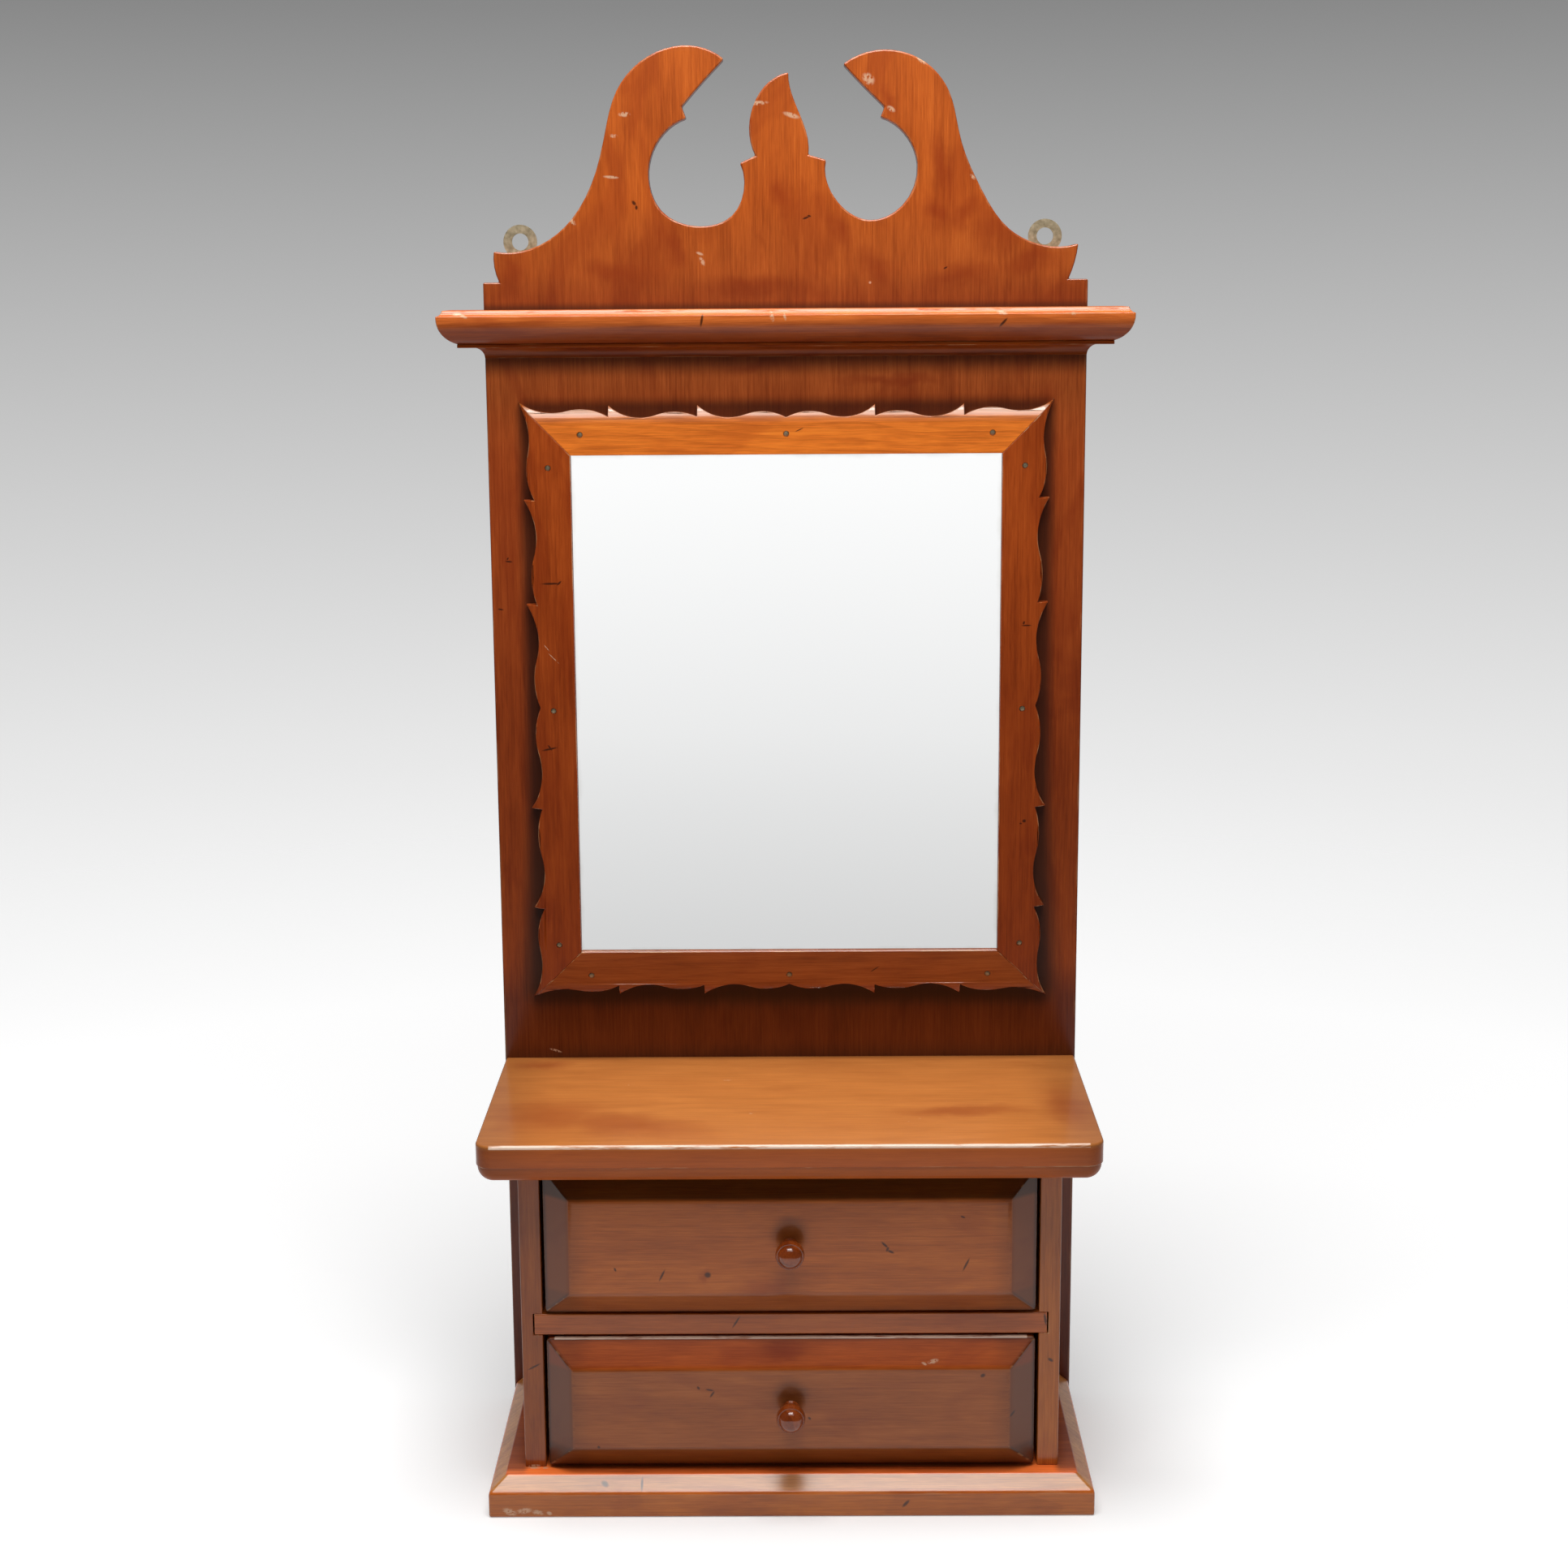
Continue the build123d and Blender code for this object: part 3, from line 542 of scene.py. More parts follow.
def shelf_dark_ends_and_painted_shade(tree, x, y, z):
    """The shelf is darker along its ends, and has painted shade at its back, where it meets the back
    board.
    """
    half = (shelf_high.x - shelf_low.x) / 2
    ends = tree.fade(abs(x), half - 40 * mm, half)
    back = tree.fade(y, shelf_high.y - 7 * mm, shelf_high.y)
    return tree.math("MAXIMUM", ends * 0.30, back * 0.35)


def base_painted_shade(tree, x, y, z):
    """Painted shade on the top of the base beside the case, in the corner at its foot."""
    beside = tree.fade(abs(x), 142 * mm, 147 * mm) * tree.fade(y, -71 * mm, -58 * mm)
    return beside * tree.fade(z, 20.2 * mm, 20.9 * mm) * 0.7


def side_bevels(drawer_front):
    """1 on the two side bevels of a drawer front, which cut through the ends of its fibres."""
    low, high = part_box(drawer_front)
    centre, half = (low + high) / 2, (high - low) / 2

    def on_sides(tree, x, y, z):
        across = abs(x - centre.x) - (half.x - bevel_run)
        upright = tree.math("MAXIMUM", abs(z - centre.z) - (half.z - bevel_run), 0.0)
        return tree.fade(across - upright, -0.6 * mm, 0.6 * mm)

    return on_sides


def drawer_painted_shade(drawer_front):
    """Painted shade on a drawer front's side bevels, towards its ends, along its rim and above its
    knob, and darker joints at its mitres.
    """
    low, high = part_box(drawer_front)
    centre, half = (low + high) / 2, (high - low) / 2
    on_sides = side_bevels(drawer_front)
    knob_place = sum(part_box(drawer_front.replace("front", "knob")), Vector()) / 2

    def front_shade(tree, x, y, z):
        from_end, from_edge = half.x - abs(x - centre.x), half.z - abs(z - centre.z)
        from_rim = tree.math("MINIMUM", from_end, from_edge)
        # Painted shade along the rim, by the gap round the front.
        rim = tree.fade(from_rim, 2.6 * mm, 0.4 * mm)
        mitre = tree.fade(abs(from_end - from_edge), 2.6 * mm, 0.2 * mm)
        mitre = mitre * tree.fade(from_rim, bevel_run, bevel_run - 2 * mm)
        end_shade = tree.fade(from_end, bevel_run + 13 * mm, bevel_run - 2 * mm) * 0.30
        sides = on_sides(tree, x, y, z) * 0.48
        along, up = x - knob_place.x, z - (knob_place.z + 8 * mm)
        from_knob = (along * along + up * up) ** 0.5
        # Painted shade above the knob, where the knob hides the front's reflection.
        knob_painted_shade = tree.fade(from_knob, 12.5 * mm, 4 * mm) * 0.5
        shadow = tree.most([sides, end_shade, knob_painted_shade])
        return tree.math("MINIMUM", shadow + rim * 0.35 + mitre * 0.3, 0.85)

    return front_shade


# Marks are deep enough to reach every part of the face they lie on.
front_mark_depth_mm, shelf_top_mm, top_mark_depth_mm = 300, 215, 30


def on_front(*marks_mm):
    """Marks in faces that look forward, from (x, z, half length, half width, turn)."""
    return [((x, 0, z), (length, front_mark_depth_mm, width), turn, "Y")
            for x, z, length, width, turn in marks_mm]


def on_top(*marks_mm):
    """Marks in the top of the shelf, from (x, y, half length, half width, turn)."""
    return [((x, y, shelf_top_mm), (length, width, top_mark_depth_mm), turn, "Z")
            for x, y, length, width, turn in marks_mm]


# The marks of each board, in millimetres and degrees. Four marks of the base are written out in
# full, because they lie on its bevel and on its top.
marks = {
    "back_board": dict(
        dents=on_front(
            (-81.8, 698, 2, 1.2, 50), (-80.5, 695.6, 1, 1.6, 0), (11.4, 689.6, 2.6, 0.8, -20),
            (13.2, 690.6, 1.4, 0.7, 15), (87.3, 662.6, 1.7, 0.6, -30), (-155, 503.6, 2.6, 0.7, 5),
            (-155.6, 505.2, 1.1, 0.6, -60), (-160.3, 476.8, 2.2, 0.6, 10),
        ),
        chips=on_front(
            (-45.2, 666.9, 3.2, 1.5, 60), (-46.4, 671, 2.6, 1, 20), (-86.2, 744.6, 3.9, 1.7, 0),
            (-92.1, 733.4, 2.6, 1.3, 5), (-94, 711.8, 5.3, 1, 5), (45.3, 762.3, 4.6, 3.4, 40),
            (57.5, 746.6, 3.1, 1.7, 33), (-14.3, 750.1, 7, 1.5, -3), (3.8, 743.6, 5.9, 1.7, 17),
            (73.5, 771.8, 4, 1.4, 40), (-115.5, 688.5, 3.1, 1.5, 45),
            (101.7, 710.7, 2.3, 1.1, 48), (46.2, 655, 0.9, 0.9, 0), (-135.6, 219.6, 4.4, 0.9, 17),
            (0.6, 779, 3, 1.2, 0),
        ),
        patches=on_front(
            (-2.4, 701.9, 19, 9.5, 65), (30.3, 682.8, 18, 9, 47),
            (49.3, 663.5, 16, 11, 48), (81.8, 691.1, 14, 9.5, 46),
            (97.4, 690.5, 17, 10, -35), (96.8, 657.8, 28, 11, -12),
            (134.7, 667, 26, 10, -15), (-61.9, 674.9, 20, 9, 71),
            (57.3, 752.1, 15, 5.6, 66), (85.2, 719.5, 22, 8, 73),
            (-12.6, 610.9, 30, 5.6, 2), (57.6, 603.4, 44, 4.6, 3),
            (-150, 660, 10, 20, 0), (116, 684, 22, 20, 0),
            (-95, 660, 26, 12, 10), (-20, 652, 40, 9, 0),
        ),
    ),
    "cornice_board": dict(
        dents=on_front((-45, 635.7, 4.6, 0.9, 100), (117.3, 633.6, 4, 0.9, 133)),
        chips=on_front(
            (-7.3, 637.7, 3.8, 1.4, 74), (-0.3, 637.4, 2.6, 0.9, 75), (-177, 639.6, 3.6, 0.9, 0),
            (-173, 638.4, 3, 1.1, 16), (116.6, 638.8, 3.6, 1.4, 9),
            (154.8, 638, 1.6, 1.1, 22),
        ),
    ),
    "frame_top": dict(dents=on_front((7.3, 576.2, 3.2, 0.4, -25))),
    "frame_bottom": dict(dents=on_front((48.8, 270.4, 4, 0.45, -35))),
    "frame_left": dict(
        dents=on_front(
            (-130.9, 492.3, 6.8, 0.8, -2), (-126.2, 492.7, 2.3, 0.7, -44),
            (-133.9, 399, 5.6, 0.8, -13), (-133.7, 399.8, 2.5, 0.7, 55),
        ),
        chips=on_front((-134.2, 456.4, 3, 0.3, 50), (-130.4, 450.6, 5.2, 0.28, 44)),
    ),
    "frame_right": dict(
        dents=on_front(
            (132.9, 467.5, 3.6, 0.6, 0), (131.4, 469, 0.8, 1.4, 20), (133, 356.4, 1.4, 1.2, 0),
            (131, 355, 1, 0.6, 0),
        ),
    ),
    "shelf_board": dict(
        chips=on_top(
            (-35.2, 20.8, 3, 0.5, 0), (69.8, -46.2, 0.9, 0.8, 0),
            (63.9, -51.4, 0.8, 0.7, 0), (-20.9, -36.9, 1.4, 0.5, 0),
            (-90, 12.9, 0.7, 0.6, 0), (85.4, -17.9, 1.1, 0.5, 0),
        ),
        patches=on_top(
            (-130.1, -39.4, 44, 40, 11), (-88.9, -54.3, 66, 26, -17),
            (151.6, -28.2, 52, 22, -84), (-141.4, 50.7, 26, 12, -1),
            (91.1, -34.4, 52, 14, 6),
        ),
    ),
    "case_left_side": dict(
        dents=on_front((-139.1, 79.7, 5.2, 0.7, -28)),
        chips=on_front((-140.5, 21.6, 4.2, 1.2, -3), (-132.6, 24, 0.9, 2.2, 15)),
    ),
    "case_right_side": dict(dents=on_front((140.7, 82.5, 2.2, 1.2, 35))),
    "divider_board": dict(dents=on_front((-29.4, 104.9, 5.2, 0.7, 122), (137.5, 105.9, 4.6, 1, 81))),
    "base_board": dict(
        dents=[
            *on_front((61.9, 7.6, 3.8, 1.2, 133)),
            ((-81, -75, 18), (1, 9, 4), 0, "Y"),
            ((-101.2, -75, 17.6), (3, 8, 1.6), 19, "Y"),
        ],
        chips=[
            *on_front(
                (-152.6, 3.4, 5.2, 2.6, 20), (-144.8, 4, 5.4, 2.2, -7),
                (-137.4, 3, 4, 2, 11), (-131.2, 2.6, 2, 1.4, 24),
            ),
            ((-140.5, -60.2, 21), (4.6, 1.7, 3), 0, "Z"),
            ((-134.5, -60.4, 21), (2, 1.4, 3), 0, "Z"),
        ],
    ),
    "upper_drawer_front": dict(
        dents=on_front(
            (-93.4, 139.8, 1.6, 0.8, 66), (-68.4, 136.4, 4.8, 0.8, 116),
            (-44, 136.6, 2.4, 2.2, 0), (50.4, 153.2, 3.3, 0.9, 44), (51.9, 150.7, 1.9, 0.9, 115),
            (53.7, 149.3, 2.6, 0.9, 25), (93.8, 141.9, 5.4, 0.8, 116), (91.9, 168.7, 1.8, 0.7, 23),
        ),
        patches=on_front((-12.5, 128.8, 22, 8, -4), (-44, 136.2, 6, 5.4, 0)),
    ),
    "lower_drawer_front": dict(
        dents=on_front(
            (-49.8, 72, 1.5, 0.9, 56), (-43.7, 70.8, 3, 0.7, 10), (-42.4, 68.3, 2.8, 0.8, 124),
            (103.3, 78.6, 1.9, 1.4, -30), (-104.2, 37.8, 1.2, 1, 59), (10, 54.2, 1.4, 0.9, 47),
            (119.6, 56, 2.8, 0.9, -47),
        ),
        chips=on_front((76.6, 85.7, 3.8, 1.3, -12), (71.8, 84.6, 2, 0.9, 20)),
        # The soft dark patch in the middle of the top bevel, above the knob, is painted shade.
        patches=on_front((-2, 90, 17, 9, 0)),
    ),
}

# Tones by height in millimetres: painted light and shade, over a stain that some boards also took
# unevenly.
# The frame's side mouldings: painted lighter at the top and darker towards the bottom.
frame_side_painted_light = [(255, (0.68, 0.48, 0.29)), (420, (0.8, 0.57, 0.4)), (590, (1.06, 0.79, 0.58))]
tones = {
    # The back board: painted light on the crest and under the cornice, painted shade below the frame,
    # partly uneven stain.
    "back_board": [
        (215, (0.36, 0.28, 0.27)), (250, (0.37, 0.29, 0.26)), (270, (0.7, 0.55, 0.36)),
        (400, (0.64, 0.45, 0.35)), (560, (1.04, 0.82, 0.78)), (605, (1.28, 1.2, 1.3)),
        (655, (0.96, 0.95, 0.88)), (700, (1.22, 1.06, 0.7)), (765, (1.22, 1.06, 0.7)),
    ],
    # The cornice: its top face painted lighter, its rounded underside darker.
    "cornice_board": [
        (623.5, (0.66, 0.5, 0.34)), (630, (0.78, 0.62, 0.48)), (636, (1.66, 1.68, 1.72)),
        (641.5, (1.85, 1.86, 1.86)),
    ],
    # The shelf: its top face painted paler and greyer than its front, as painted light.
    "shelf_board": [
        (194.4, (0.98, 0.92, 0.62)), (202.6, (1.06, 1.02, 0.68)), (203.6, (1.08, 0.98, 0.64)),
        (212.5, (1.1, 1.04, 0.66)), (214.6, (1.36, 2.0, 2.55)), (215.4, (1.37, 2.06, 2.7)),
    ],
    "frame_left": frame_side_painted_light,
    "frame_right": frame_side_painted_light,
    # The upper front: its top bevel painted dark as the shelf's shadow, its bottom bevel painted
    # darker.
    "upper_drawer_front": [
        (111.5, (0.72, 0.8, 0.92)), (124.5, (0.84, 0.95, 1.0)), (127.0, (1.12, 1.2, 0.9)),
        (177.5, (1.12, 1.2, 0.9)), (179.5, (0.33, 0.42, 0.19)), (192.9, (0.19, 0.3, 0.12)),
    ],
    # The lower front: its bottom bevel painted darker, its top bevel painted lighter.
    "lower_drawer_front": [
        (22.5, (0.34, 0.37, 0.3)), (35.5, (0.46, 0.47, 0.38)), (38.0, (0.8, 0.9, 0.87)),
        (81.3, (0.8, 0.9, 0.87)), (83.5, (1.14, 0.92, 0.58)), (96.5, (1.2, 0.96, 0.6)),
    ],
    # The base: a painted sheen on its bevel, and its top painted lighter.
    "base_board": [
        (0, (1.16, 1.34, 0.76)), (12.5, (1.16, 1.34, 0.76)), (14.2, (1.6, 1.55, 0.9)),
        (15.6, (1.46, 2.4, 2.85)), (20.3, (1.46, 2.4, 2.85)), (20.9, (2.9, 2.6, 3.0)),
        (21.0, (3.0, 2.7, 3.1)),
    ],
}
deep_cove = dict(tone=(0.73, 0.55, 0.16), coat=0.25)

# Every board: the rounding of its edges in mm, its grain and what sets its stain apart.
boards = {
    "back_board": (0.9, dict(grain="Z", seed=1.0, figure=0.14, cloud=0.35, shade=panel_painted_shade,
                             pith_mm=(140.0, 60.0), coat=0.9, coat_fall=(215, 330, 0.5),
                             front_mm=68)),
    # The cornice's pale top edge is partly worn and partly a painted highlight.
    "cornice_board": (0.5, dict(seed=2.0, figure=0.3, cloud=0.3, coat=0.6, coat_fall=(626, 636, 0.45),
                                rubs_and_highlights=[((-187, 40, 640.0), (187, 44.6, 643), 0.75)])),
    "cornice_cove_front": (0.25, dict(seed=3.0, **deep_cove)),
    "cornice_cove_left": (0.25, dict(grain="Y", seed=3.4, **deep_cove)),
    "cornice_cove_right": (0.25, dict(grain="Y", seed=3.7, **deep_cove)),
    # frame_top: its lighter tone is painted light on the moulding that faces up, and its pale rounding
    # a painted sheen.
    "frame_top": (0.35, dict(seed=4.0, figure=0.35, cloud=0.2, tone=(1.95, 2.10, 1.22), gloss=0.1,
                             painted_sheens=[((-150, 55.0, 579), (150, 60.0, 600), 0.62)])),
    # frame_bottom: its darker tone is painted shade.
    "frame_bottom": (0.4, dict(seed=4.6, figure=0.3, cloud=0.3, tone=(0.86, 0.83, 0.86))),
    "frame_left": (0.4, dict(grain="Z", seed=5.0, figure=0.2, cloud=0.3, coat=0.5)),
    "frame_right": (0.4, dict(grain="Z", seed=5.5, figure=0.2, cloud=0.3, coat=0.5)),
    # The shelf's pale front edge is partly worn and partly a painted highlight.
    "shelf_board": (0.4, dict(seed=6.0, figure=0.08, cloud=0.1, contrast=0.5, shade=shelf_dark_ends_and_painted_shade,
                              coat=0.6, coat_fall=(198, 206, 0.25), pith_mm=(20.0, 120.0),
                              rubs_and_highlights=[((-157, -91, 213.5), (157, -86.7, 217), 0.95)])),
    "case_left_side": (0.5, dict(grain="Z", seed=7.0, figure=0.2, cloud=0.3,
                                 tone=(0.76, 0.78, 0.53), coat=0.72)),
    "case_right_side": (0.5, dict(grain="Z", seed=7.5, figure=0.2, cloud=0.3,
                                  tone=(1.02, 1.18, 0.85), coat=0.8)),
    "divider_board": (0.4, dict(seed=8.0, figure=0.2, cloud=0.3, tone=(1.12, 1.14, 0.92), coat=0.75)),
    "base_board": (1.2, dict(seed=9.0, figure=0.25, cloud=0.3, coat=0.95, shade=base_painted_shade,
                             gloss=0.23)),
    "upper_drawer_front": (0.4, dict(seed=10.0, figure=0.08, cloud=0.25, coat=0.65, gloss=0.22,
                                     calm=side_bevels("upper_drawer_front"),
                                     shade=drawer_painted_shade("upper_drawer_front"),
                                     pith_mm=(90.0, 150.0))),
    # The lower front's pale top edge is partly worn and partly a painted highlight.
    "lower_drawer_front": (0.6, dict(seed=11.0, figure=0.06, cloud=0.25, coat=0.7, gloss=0.22,
                                     calm=side_bevels("lower_drawer_front"),
                                     shade=drawer_painted_shade("lower_drawer_front"),
                                     pith_mm=(90.0, 40.0),
                                     rubs_and_highlights=[((-128, -62, 95.5), (128, -57.0, 98), 0.95)])),
}
edge_wear, little_edge_wear = 0.55, 0.2
little_worn = ("back_board", "base_board", "frame_top", "upper_drawer_front", "lower_drawer_front")

for board_name, (radius_mm, own_look) in boards.items():
    look = {**own_look, **marks.get(board_name, {}), "painted_light_and_stain_by_height": tones.get(board_name)}
    face = stained_pine(board_name + "_stain", **look)
    wear = little_edge_wear if board_name in little_worn else edge_wear
    edge = stained_pine(board_name + "_edge", worn=wear, **look)
    eased(board_name, radius_mm, face, edge)

knob_finish = stained_pine("knob_stain", grain="Y", seed=12.0, figure=0.8, cloud=0.2,
                           tone=(0.70, 0.60, 0.50), roughness=0.3, gloss=0.08)
for knob_name in ("upper_drawer_knob", "lower_drawer_knob"):
    nodes[knob_name].data.materials[0] = knob_finish


# ---------------------------------------------------------------- bare pine, card, glass, metal


def bare_pine(name, grain, seed):
    """Planed pine without stain or varnish, for the drawer boxes."""
    finish, tree = new_finish(name)
    board = board_space(tree, tree.place(), grain, [seed * step for step in seed_steps_mm])
    fibre = tree.noise(board, (0.012, 0.8, 0.8), 4.0, 0.6)
    wander = tree.noise(board, (0.006, 0.03, 0.03), 2.0)
    _, side, depth = tree.xyz(board)
    ring_width, ring_wander = 5.0, 30.0
    from_pith = (side * side + depth * depth) ** 0.5
    ring = tree.math("FRACT", (from_pith + wander * ring_wander) / ring_width)
    late = tree.fade(ring, 0.4, 0.95) * tree.fade(ring, 1.0, 0.96)
    level = 0.55 + (fibre - 0.5) * 0.9 - late * 0.35
    pine = [(0.0, (0.36, 0.20, 0.085)), (0.45, (0.53, 0.34, 0.17)), (1.0, (0.70, 0.50, 0.29))]
    close_solid(tree, {
        "Base Color": tree.ramp(level, pine),
        "Roughness": 0.62 + (fibre - 0.5) * 0.2,
        "Specular IOR Level": 0.35,
        "Normal": tree.bump(0.4, 0.08, fibre),
    })
    return finish


def backing_card_finish():
    """Grey-brown card with short paper fibres."""
    finish, tree = new_finish("backing_card_paper")
    place = tree.place()
    flecks = tree.noise(place, (900, 900, 260), 4.0, 0.7)
    cloud = tree.noise(place, (28, 28, 28), 2.0)
    card = [(0.3, (0.16, 0.115, 0.075)), (0.7, (0.30, 0.23, 0.155))]
    close_solid(tree, {
        "Base Color": tree.ramp(flecks * 0.6 + cloud * 0.4, card),
        "Roughness": 0.9,
        "Normal": tree.bump(0.3, 0.05, flecks),
    })
    return finish


def silvered_glass():
    """A clean mirror whose silvering thins a little towards the rim."""
    finish, tree = new_finish("silvered_glass")
    place = tree.place()
    low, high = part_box("mirror_glass")
    x, _, z = tree.xyz(place)
    centre, half = (low + high) / 2, (high - low) / 2
    from_rim = tree.math("MINIMUM", half.x - abs(x - centre.x), half.z - abs(z - centre.z))
    haze = tree.noise(place, (60, 60, 60), 3.0) * 5 * mm
    rim = tree.fade(from_rim + haze, 11 * mm, 6.5 * mm)
    silver, thin_silver = (0.975, 0.980, 0.980, 1), (0.62, 0.60, 0.55, 1)
    colour = tree.mix(rim * 0.5, silver, thin_silver)
    close_solid(tree, {"Base Color": colour, "Metallic": 1.0, "Roughness": 0.0})
    return finish


def old_brass(name, tone=1.0):
    """Dull brass with darker tarnish."""
    finish, tree = new_finish(name)
    place = tree.place()
    tarnish = tree.noise(place, (420, 420, 420), 4.0, 0.6)
    scratch = tree.noise(place, (1500, 1500, 90), 2.0)
    brass = [(0.3, (0.38, 0.31, 0.19)), (0.55, (0.56, 0.465, 0.30)), (0.75, (0.68, 0.58, 0.40))]
    close_solid(tree, {
        "Base Color": tree.ramp(tarnish, toned(brass, grey(tone))),
        "Metallic": 0.85,
        "Roughness": 0.38 + tarnish * 0.25,
        "Normal": tree.bump(0.3, 0.03, scratch),
    })
    return finish


def zinc_steel():
    """Plated steel of the hidden screws, a little stained."""
    finish, tree = new_finish("plated_steel")
    stains = tree.noise(tree.place(), (700, 700, 700), 3.0, 0.6)
    colour = tree.ramp(stains, [(0.3, (0.20, 0.19, 0.175)), (0.65, (0.50, 0.49, 0.46))])
    close_solid(tree, {"Base Color": colour, "Metallic": 1.0, "Roughness": 0.3 + stains * 0.3})
    return finish


def dress(names, finish):
    """Gives nodes of the part one finish all over."""
    for name in names:
        for slot in range(len(nodes[name].data.materials)):
            nodes[name].data.materials[slot] = finish


for drawer, seed in (("upper_drawer", 20.0), ("lower_drawer", 26.0)):
    sides = [drawer + "_left_side", drawer + "_right_side"]
    dress(sides, bare_pine(drawer + "_side_pine", "Y", seed))
    dress([drawer + "_back"], bare_pine(drawer + "_back_pine", "X", seed + 1.0))
dress(["upper_drawer_bottom", "lower_drawer_bottom"], bare_pine("drawer_bottom_ply", "X", 23.0))
dress(["mirror_backing_card"], backing_card_finish())
dress(["mirror_glass"], silvered_glass())
dress(["hanger_left", "hanger_right"], old_brass("ring_brass"))
steel = zinc_steel()
pin_brass = old_brass("pin_brass", 0.75)
dress(["upper_drawer_knob_screw", "lower_drawer_knob_screw"], steel)


# ---------------------------------------------------------------- pins, nails and screws


def fastener_spots(node_name, sink):
    """A point mesh with the head of every fastener of a node, and the way each one faces."""
    shape = bmesh.new()
    shape.from_mesh(nodes[node_name].data)
    bmesh.ops.remove_doubles(shape, verts=shape.verts, dist=weld_distance)
    heads, ways = [], []
    for held in connected(shape.verts, lambda v: [link.other_vert(v) for link in v.link_edges]):
        places = [vertex.co.copy() for vertex in held]
        low, high = corners(places)
        middle = (low + high) / 2
        long_way = max(range(3), key=lambda i: high[i] - low[i])
        # The head is the wide end: far from the middle, but not because it is far along.
        wide = max(places, key=lambda p: (p - middle).length - abs((p - middle)[long_way]) * 0.5)
        way = Vector((0, 0, 0))
        way[long_way] = 1.0 if wide[long_way] > middle[long_way] else -1.0
        head = middle.copy()
        head[long_way] = (high if way[long_way] > 0 else low)[long_way]
        heads.append(head + way * sink)
        ways.append(way)
    shape.free()
    mesh = bpy.data.meshes.new(node_name + "_spots")
    mesh.from_pydata(heads, [], [])
    facing = mesh.attributes.new("facing", "FLOAT_VECTOR", "POINT")
    facing.data.foreach_set("vector", [c for way in ways for c in way])
    return mesh


def group_tree(name, lengths):
    """A geometry tree with a geometry and a named input for each length, and a finish."""
    group = bpy.data.node_groups.new(name, "GeometryNodeTree")
    group.interface.new_socket("Geometry", in_out="INPUT", socket_type="NodeSocketGeometry")
    for label in lengths:
        group.interface.new_socket(label, in_out="INPUT", socket_type="NodeSocketFloat")
    group.interface.new_socket("Finish", in_out="INPUT", socket_type="NodeSocketMaterial")
    group.interface.new_socket("Geometry", in_out="OUTPUT", socket_type="NodeSocketGeometry")
    tree = Tree(group)
    return group, tree, tree.node("NodeGroupInput")


def vector(tree, x, y, z):
    return tree.node("ShaderNodeCombineXYZ", None, {0: x, 1: y, 2: z})


def placed(tree, shape, z, scale=(1, 1, 1)):
    """The shape moved along Z, and scaled."""
    values = {"Geometry": shape, "Translation": vector(tree, 0, 0, z), "Scale": scale}
    return tree.node("GeometryNodeTransform", None, values)


def joined(tree, *shapes):
    made = tree.node("GeometryNodeJoinGeometry")
    for shape in reversed(shapes):
        tree.tree.links.new(shape.socket, made.node.inputs[0])
    return made


def rod(tree, sides, radius, depth):
    values = {"Vertices": sides, "Radius": radius, "Depth": depth}
    return tree.node("GeometryNodeMeshCylinder", None, values)


def cone(tree, sides, top, bottom, depth):
    values = {"Vertices": sides, "Radius Top": top, "Radius Bottom": bottom, "Depth": depth}
    return tree.node("GeometryNodeMeshCone", None, values)


def at_every_spot(tree, given, shape):
    """Sets the shape at every point, its Z along the point's facing, and closes the tree."""
    facing = tree.node(
        "GeometryNodeInputNamedAttribute", {"data_type": "FLOAT_VECTOR"}, {"Name": "facing"}
    )
    turned = tree.node(
        "FunctionNodeAlignRotationToVector", {"axis": "Z"}, {"Vector": facing.out("Attribute")}
    )
    copies = {"Points": given.out("Geometry"), "Instance": shape, "Rotation": turned}
    spread = tree.node("GeometryNodeInstanceOnPoints", None, copies)
    real = tree.node("GeometryNodeRealizeInstances", None, {"Geometry": spread})
    dressed = tree.node(
        "GeometryNodeSetMaterial", None, {"Geometry": real, "Material": given.out("Finish")}
    )
    tree.node("NodeGroupOutput", None, {"Geometry": dressed})


shank_sides, screw_head_sides = 14, 28


def domed_pin():
    """A round pin: a low domed head on a plain shank, pointing down from the origin."""
    group, tree, given = group_tree(
        "domed_pin", ("Head Radius", "Head Height", "Shank Radius", "Length", "Sink")
    )
    head_radius, head_height = given.out("Head Radius"), given.out("Head Height")
    sink, length = given.out("Sink"), given.out("Length")
    dome = {"Segments": 20, "Rings": 10, "Radius": head_radius}
    ball = tree.node("GeometryNodeMeshUVSphere", None, dome)
    flat = vector(tree, 1.0, 1.0, head_height / head_radius * 0.5)
    head = placed(tree, ball, 0.0 - sink - head_height * 0.5, flat)
    shank_length = length - sink - head_height * 0.5
    shank = rod(tree, shank_sides, given.out("Shank Radius"), shank_length)
    shank = placed(tree, shank, 0.0 - sink - head_height * 0.5 - shank_length * 0.5)
    at_every_spot(tree, given, joined(tree, head, shank))
    return group


